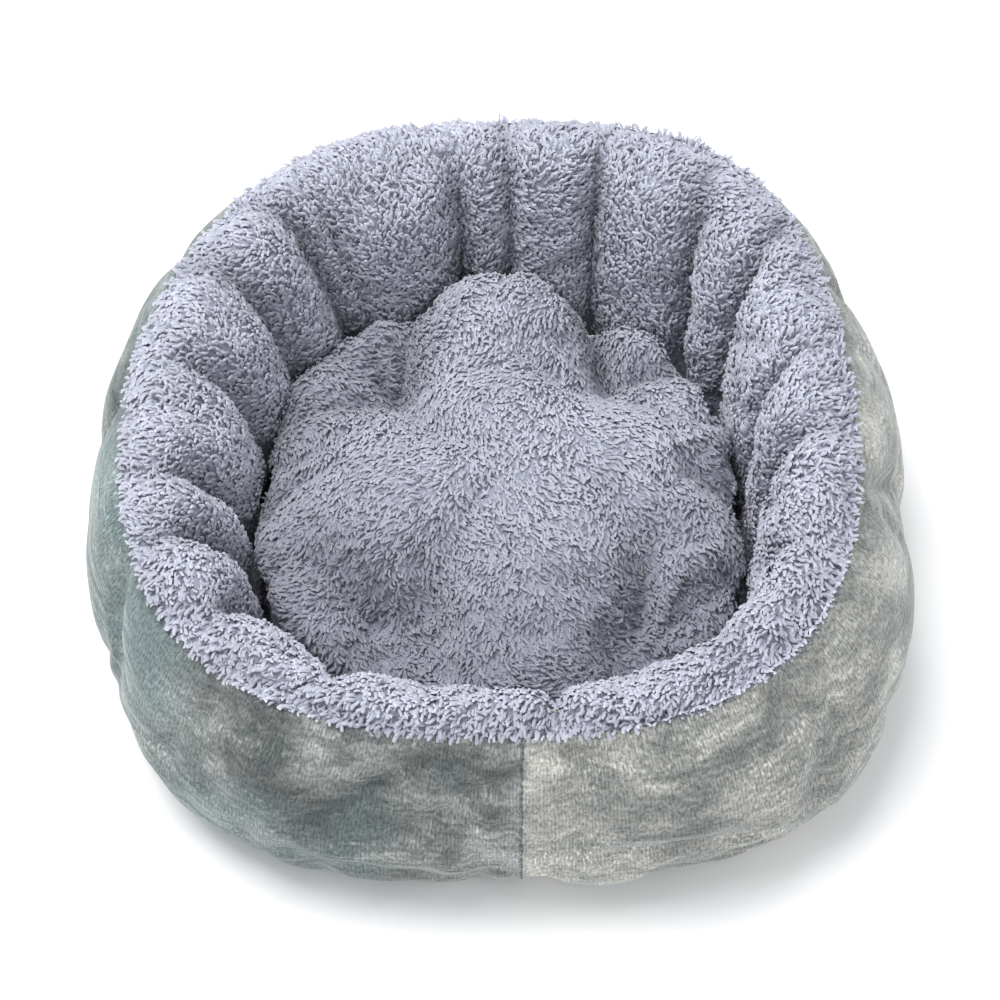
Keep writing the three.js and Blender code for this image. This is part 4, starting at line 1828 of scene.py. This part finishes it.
@dataclass
class Cushion:
    """The loose cushion: two covers round stuffing, tacked through at four points."""

    sherpa_backing: bpy.types.Material
    pile: bpy.types.Material
    under_cloth: bpy.types.Material
    fibre: bpy.types.Material
    thread: bpy.types.Material
    fleece: Fleece
    stitches: Stitches
    voxel_mm: float = 4.6
    proud_mm: float = 3.4
    seam_height_mm: float = 62.0
    pressure: float = 3.2
    slack: float = 0.1
    cap_mm: float = 12.0
    flat: tuple[float, float] = (0.39, 0.39)
    cover_mm: float = 0.9
    inset_mm: float = 2.2
    knot_lift_mm: float = 0.4
    # The cushion's locks are painted at 0.82 of full brightness, darker than the lining's: painted
    # shade.
    nap: Nap = Nap(
        spacing_mm=1.75, length_mm=4.5, height_mm=2.2, width_mm=2.2, swirl_deg=130.0,
        swirl_per_m=8.0, jitter_deg=26.0, sheltered_mm=72.0, tone=0.82,
    )
    # Middle of the raised, lit part of the cushion, in millimetres; locks are painted darker away from
    # it, as painted shade.
    lit_middle: tuple[float, float] = (26.0, 34.0)
    grooves: tuple[Groove, ...] = (
        Groove((-62, 62), (-54, 116), 27, 14),
        Groove((-62, 62), (-78, 98), 23, 13),
        Groove((-62, 62), (-100, 92), 11, 15),
        Groove((-62, 62), (-132, 36), 11, 15),
        Groove((-62, 62), (-40, 20), 8, 11),
        Groove((64, 73), (48, 138), 32, 11),
        Groove((64, 73), (124, 82), 15, 11),
        Groove((64, 73), (100, 30), 8, 11),
        Groove((-53, -104), (-98, -66), 22, 12),
        Groove((-53, -104), (-64, -142), 22, 15),
        Groove((-53, -104), (-30, -62), 11, 12),
        Groove((76, -110), (84, -48), 22, 10),
        Groove((76, -110), (100, -136), 19, 15),
        Groove((76, -110), (124, -70), 12, 11),
        Groove((112, 2), (138, -12), 12, 10),
    )
    bulges: tuple[Bulge, ...] = (
        Bulge((4, 114), 19, 40),
        Bulge((-112, 84), -2, 26),
        Bulge((-84, 126), 13, 26),
        Bulge((-128, 0), -10, 40),
        Bulge((130, -20), -8, 36),
        Bulge((92, 108), 3, 24),
        Bulge((0, 10), 9, 62),
        Bulge((6, -96), 6, 40),
    )
    form: bpy.types.Object = field(init=False)

    def tacks(self) -> Array:
        """The four tacks' upper places, one row each."""
        boxes = [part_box(f"pad_tack_{number}") for number in range(1, 5)]
        return np.array([[*((low + high) / 2).xy, high.z] for low, high in boxes])

    def groove_depth(self, places: Array) -> Array:
        """Depth of the dents at each place, in metres."""
        depth = np.zeros(len(places))
        for groove in self.grooves:
            start, end = np.array(groove.start) * MM, np.array(groove.end) * MM
            line = end - start
            along = np.clip((places[:, :2] - start) @ line / (line @ line), 0, 1)
            away = np.linalg.norm(places[:, :2] - start - along[:, None] * line, axis=1)
            fade = 0.3 + 0.7 * np.sin(np.pi * (0.3 + 0.62 * along))
            shape = np.exp(-((away / (groove.width_mm * MM)) ** 1.5))
            depth = np.maximum(depth, groove.depth_mm * MM * fade * shape)
        return depth

    def painted_shade_mask(self, places: Array) -> Array:
        """How deep in a dent or how near the edge each place is, from 0 to 1: the mask of the cushion's
        painted shade.
        """
        from_lit_middle = np.linalg.norm(places[:, :2] - np.array(self.lit_middle) * MM, axis=1)
        # Painted shade towards the cushion's edge, away from its lit middle.
        edge = smooth_step(from_lit_middle, 0.06, 0.16)
        return np.clip(self.groove_depth(places) / (20 * MM) + 0.7 * edge, 0, 1)

    def copy_filling(self) -> None:
        """Copies the frame's filling and rebuilds it in even cells."""
        self.form = frame["nodes"]["pad_filling"].copy()
        self.form.data = self.form.data.copy()
        self.form.name = "cushion_form"
        self.form.hide_render = self.form.hide_viewport = False
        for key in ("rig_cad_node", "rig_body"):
            if key in self.form:
                del self.form[key]
        self.form.parent = None
        bpy.context.scene.collection.objects.link(self.form)
        remesh = self.form.modifiers.new("cells", "REMESH")
        remesh.mode = "VOXEL"
        remesh.voxel_size = self.voxel_mm * MM
        smooth = self.form.modifiers.new("even", "SMOOTH")
        smooth.factor, smooth.iterations = 0.5, 6
        settle(self.form)

    def shape(self) -> None:
        """Presses in the dents and puffs the cushion up round its tacks."""
        self.copy_filling()
        mesh = self.form.data
        places, normals = read_points(mesh), corner_normals(mesh)
        top = smooth_step(places[:, 2], 0.07, 0.09)
        depth = self.groove_depth(places)
        lumps = 3.0 * noise_at(places, 13.0, 4.0) + 1.3 * noise_at(places, 34.0, 6.0)
        swell = self.proud_mm * MM + lumps * MM * top
        places = places + normals * swell[:, None]
        for bulge in self.bulges:
            away = np.linalg.norm(places[:, :2] - np.array(bulge.middle) * MM, axis=1)
            rise = bulge.height_mm * MM * np.exp(-((away / (bulge.spread_mm * MM)) ** 2))
            places[:, 2] += rise * top
        above_seam = np.clip(places[:, 2] - (self.seam_height_mm + 3) * MM, 0, None)
        places[:, 2] -= np.minimum(depth * top, 0.85 * above_seam)
        write_points(mesh, places)
        pins = self.hold(places, depth * top)
        inflate(self.form, pins, self.pressure, self.slack, self.cap_mm * MM)

    def hold(self, places: Array, depth: Array) -> Array:
        """How firmly the simulation holds each place.

        Args:
            places: The form's corners.
            depth: Depth of the dents there.

        Returns:
            A share from 0 to 1 for each corner.
        """
        tacks = self.tacks()
        from_tack = np.linalg.norm(places[:, None, :2] - tacks[None, :, :2], axis=2).min(1)
        from_seam = (places[:, 2] - self.seam_height_mm * MM) / (8 * MM)
        pins = np.exp(-((from_tack / (11 * MM)) ** 2))
        pins = np.maximum(pins, np.clip(depth / (14 * MM), 0, 0.9))
        pins = np.maximum(pins, 0.5 * (1 - smooth_step(places[:, 2], 0.012, 0.05)))
        pins = np.maximum(pins, 0.45 * np.exp(-(from_seam**2)))
        pins[pins < 0.02] = 0
        return np.clip(pins, 0, 1)

    def cover(self, name: str, upper: bool) -> bpy.types.Object:
        """Cuts one cover from the form at its edge seam.

        Args:
            name: The piece's name.
            upper: True for the top cover.

        Returns:
            The cover's skin.
        """
        work = bmesh.new()
        work.from_mesh(self.form.data)
        bmesh.ops.bisect_plane(
            work, geom=work.verts[:] + work.edges[:] + work.faces[:],
            plane_co=(0, 0, self.seam_height_mm * MM), plane_no=(0, 0, 1 if upper else -1),
            clear_inner=True,
        )
        return piece_from(name, work)

    def build(self) -> None:
        """Cuts the covers, grows the fleece and sews the edge."""
        self.shape()
        stuffing = self.form
        mesh = stuffing.data
        top = self.cover("cushion_top", True)
        under = self.cover("cushion_underside", False)
        for piece in self.fleece.grow("cushion_pile", top, self.nap, None, self.painted_shade_mask):
            dress(piece, self.pile, Body.PAD)
        self.sew_edge(top)
        self.tie_tacks(top)
        for skin, material, slot, node in (
            (top, self.sherpa_backing, "sherpa", "pad_top_cover"),
            (under, self.under_cloth, "lining_cloth", "pad_bottom_cover"),
        ):
            thicken(skin, self.cover_mm * MM)
            dress(skin, material, Body.PAD, (node,))
        write_points(mesh, read_points(mesh) - corner_normals(mesh) * self.inset_mm * MM)
        stuffing.name = mesh.name = "cushion_stuffing"
        dress(stuffing, self.fibre, Body.PAD, ("pad_filling",))

    def tie_tacks(self, top: bpy.types.Object) -> None:
        """Ties a small crossed knot at the bottom of each dimple.

        Args:
            top: The top cover's skin, still a single layer.
        """
        places, normals = read_points(top.data), corner_normals(top.data)
        for number, tack in enumerate(self.tacks(), 1):
            nearest = int(np.argmin(np.linalg.norm(places[:, :2] - tack[:2], axis=1)))
            half = self.stitches.length_mm * MM / 2
            cross = np.array([[-half, 0, 0], [half, 0, 0], [0, -half, 0], [0, half, 0]])
            line = places[nearest] + normals[nearest] * self.knot_lift_mm * MM + cross
            up = np.tile(normals[nearest], (len(line), 1))
            knot = self.stitches.row(f"cushion_tack_{number}", line, up, False)
            dress(knot, self.thread, Body.PAD, (f"pad_tack_{number}",))

    def sew_edge(self, top: bpy.types.Object) -> None:
        """Sews the row of stitches round the cushion's edge.

        Args:
            top: The top cover's skin, still a single layer.
        """
        places, normals = read_points(top.data), corner_normals(top.data)
        edge = np.abs(places[:, 2] - self.seam_height_mm * MM) < 1 * MM
        turned = np.arctan2(places[edge, 1], places[edge, 0])
        order = np.argsort(turned)
        line, up = places[edge][order], normals[edge][order]
        keep = np.concatenate([[True], np.linalg.norm(np.diff(line, axis=0), axis=1) > 0.5 * MM])
        row = self.stitches.row("cushion_edge_stitches", line[keep], up[keep], True)
        dress(row, self.thread, Body.PAD, ("pad_edge_thread",))


@dataclass
class WallSeams:
    """Every row of stitches on the wall."""

    wall: WallForm
    stitches: Stitches
    thread: bpy.types.Material

    def build(self) -> None:
        """Sews the rings and the front and back seams."""
        ways = self.wall.normals()
        rings = {
            "base_stitches": (0, "base_seam_thread"),
            "rim_stitches": (self.wall.rim_row, "rim_seam_thread"),
            "nest_stitches": (self.wall.floor_row, "floor_seam_thread"),
        }
        for name, (row, node) in rings.items():
            sewn = self.stitches.row(name, self.wall.points[:, row], ways[:, row], True)
            dress(sewn, self.thread, Body.BED, (node,))
        seams = {"front": self.wall.columns // 4, "back": self.wall.columns * 3 // 4}
        spans = {
            "panel": slice(0, self.wall.rim_row + 1),
            "lining": slice(self.wall.rim_row, self.wall.floor_row + 1),
        }
        for end, column in seams.items():
            for cloth, span in spans.items():
                line = self.wall.points[column, span]
                sewn = self.stitches.row(f"{end}_{cloth}_stitches", line, ways[column, span], False)
                dress(sewn, self.thread, Body.BED, (f"{end}_{cloth}_seam",))


# ---------------------------------------------------------------- scene


@dataclass
class Studio:
    """Pale floor, soft lights and the camera."""

    elevation_deg: float = 55.0
    distance: float = 1.39
    lens_mm: float = 85.0
    aim: tuple[float, float, float] = (0.0, -0.0046, 0.0767)

    def camera(self) -> None:
        """Places the camera in front of the bed, looking down into the nest."""
        data = bpy.data.cameras.new("camera")
        data.lens = self.lens_mm
        data.clip_end = 20
        camera = bpy.data.objects.new("camera", data)
        tilt = math.radians(self.elevation_deg)
        back = Vector((0, -math.cos(tilt), math.sin(tilt)))
        camera.location = Vector(self.aim) + back * self.distance
        camera.rotation_euler = (math.pi / 2 - tilt, 0, 0)
        bpy.context.scene.collection.objects.link(camera)
        bpy.context.scene.camera = camera

    def floor(self) -> None:
        """Lays a plain pale floor under the bed."""
        work = bmesh.new()
        bmesh.ops.create_grid(work, x_segments=1, y_segments=1, size=6)
        floor = piece_from("floor", work)
        material = bpy.data.materials.new("pale_floor")
        material.use_nodes = True
        shader = material.node_tree.nodes["Principled BSDF"]
        shader.inputs["Base Color"].default_value = srgb("#fbfbfb")
        shader.inputs["Roughness"].default_value = 0.9
        shader.inputs["Specular IOR Level"].default_value = 0.1
        floor.data.materials.append(material)

    def light(self, name: str, place: tuple[float, float, float], size: float, watts: float) -> None:
        """Hangs one soft square light that faces the bed.

        Args:
            name: The light's name.
            place: Where it hangs.
            size: Its width.
            watts: Its power.
        """
        data = bpy.data.lights.new(name, "AREA")
        data.shape = "SQUARE"
        data.size = size
        data.energy = watts
        lamp = bpy.data.objects.new(name, data)
        lamp.location = place
        lamp.rotation_euler = (-Vector(place)).to_track_quat("-Z", "Y").to_euler()
        bpy.context.scene.collection.objects.link(lamp)

    def build(self) -> None:
        """Sets up camera, floor and lights."""
        self.camera()
        self.floor()
        self.light("key", (-0.55, 0.3, 1.9), 1.4, 44)
        self.light("fill", (0.7, -1.7, 1.5), 2.0, 11)
        world = bpy.data.worlds.new("studio")
        world.use_nodes = True
        sky = world.node_tree.nodes["Background"]
        sky.inputs["Color"].default_value = srgb("#f4f6fa")
        sky.inputs["Strength"].default_value = 0.65
        bpy.context.scene.world = world
        bpy.context.scene.view_settings.view_transform = "Standard"


def main() -> None:
    """Builds the bed piece by piece."""
    logging.basicConfig(level=logging.INFO, format="%(name)s %(message)s")
    Studio().build()
    wardrobe = Wardrobe()
    wall = WallForm()
    wall.shape()
    fleece, stitches = Fleece(), Stitches()
    # The left panel gets the darker copy of the velvet, which is painted shade.
    velvet_by_side = {Side.LEFT: wardrobe.velvet_painted_shade, Side.RIGHT: wardrobe.velvet}
    VelvetPanels(wall, velvet_by_side).build()
    SherpaLining(wall, wardrobe.backing, wardrobe.pile, fleece).build()
    Stuffing(wall, wardrobe.fibre).build()
    Base(wall, wardrobe.base, wardrobe.grip, wardrobe.fibre, wardrobe.lining).build()
    WallSeams(wall, stitches, wardrobe.thread).build()
    Cushion(
        wardrobe.backing, wardrobe.pile, wardrobe.lining, wardrobe.fibre, wardrobe.thread,
        fleece, stitches,
    ).build()


if __name__ == "__main__":
    main()
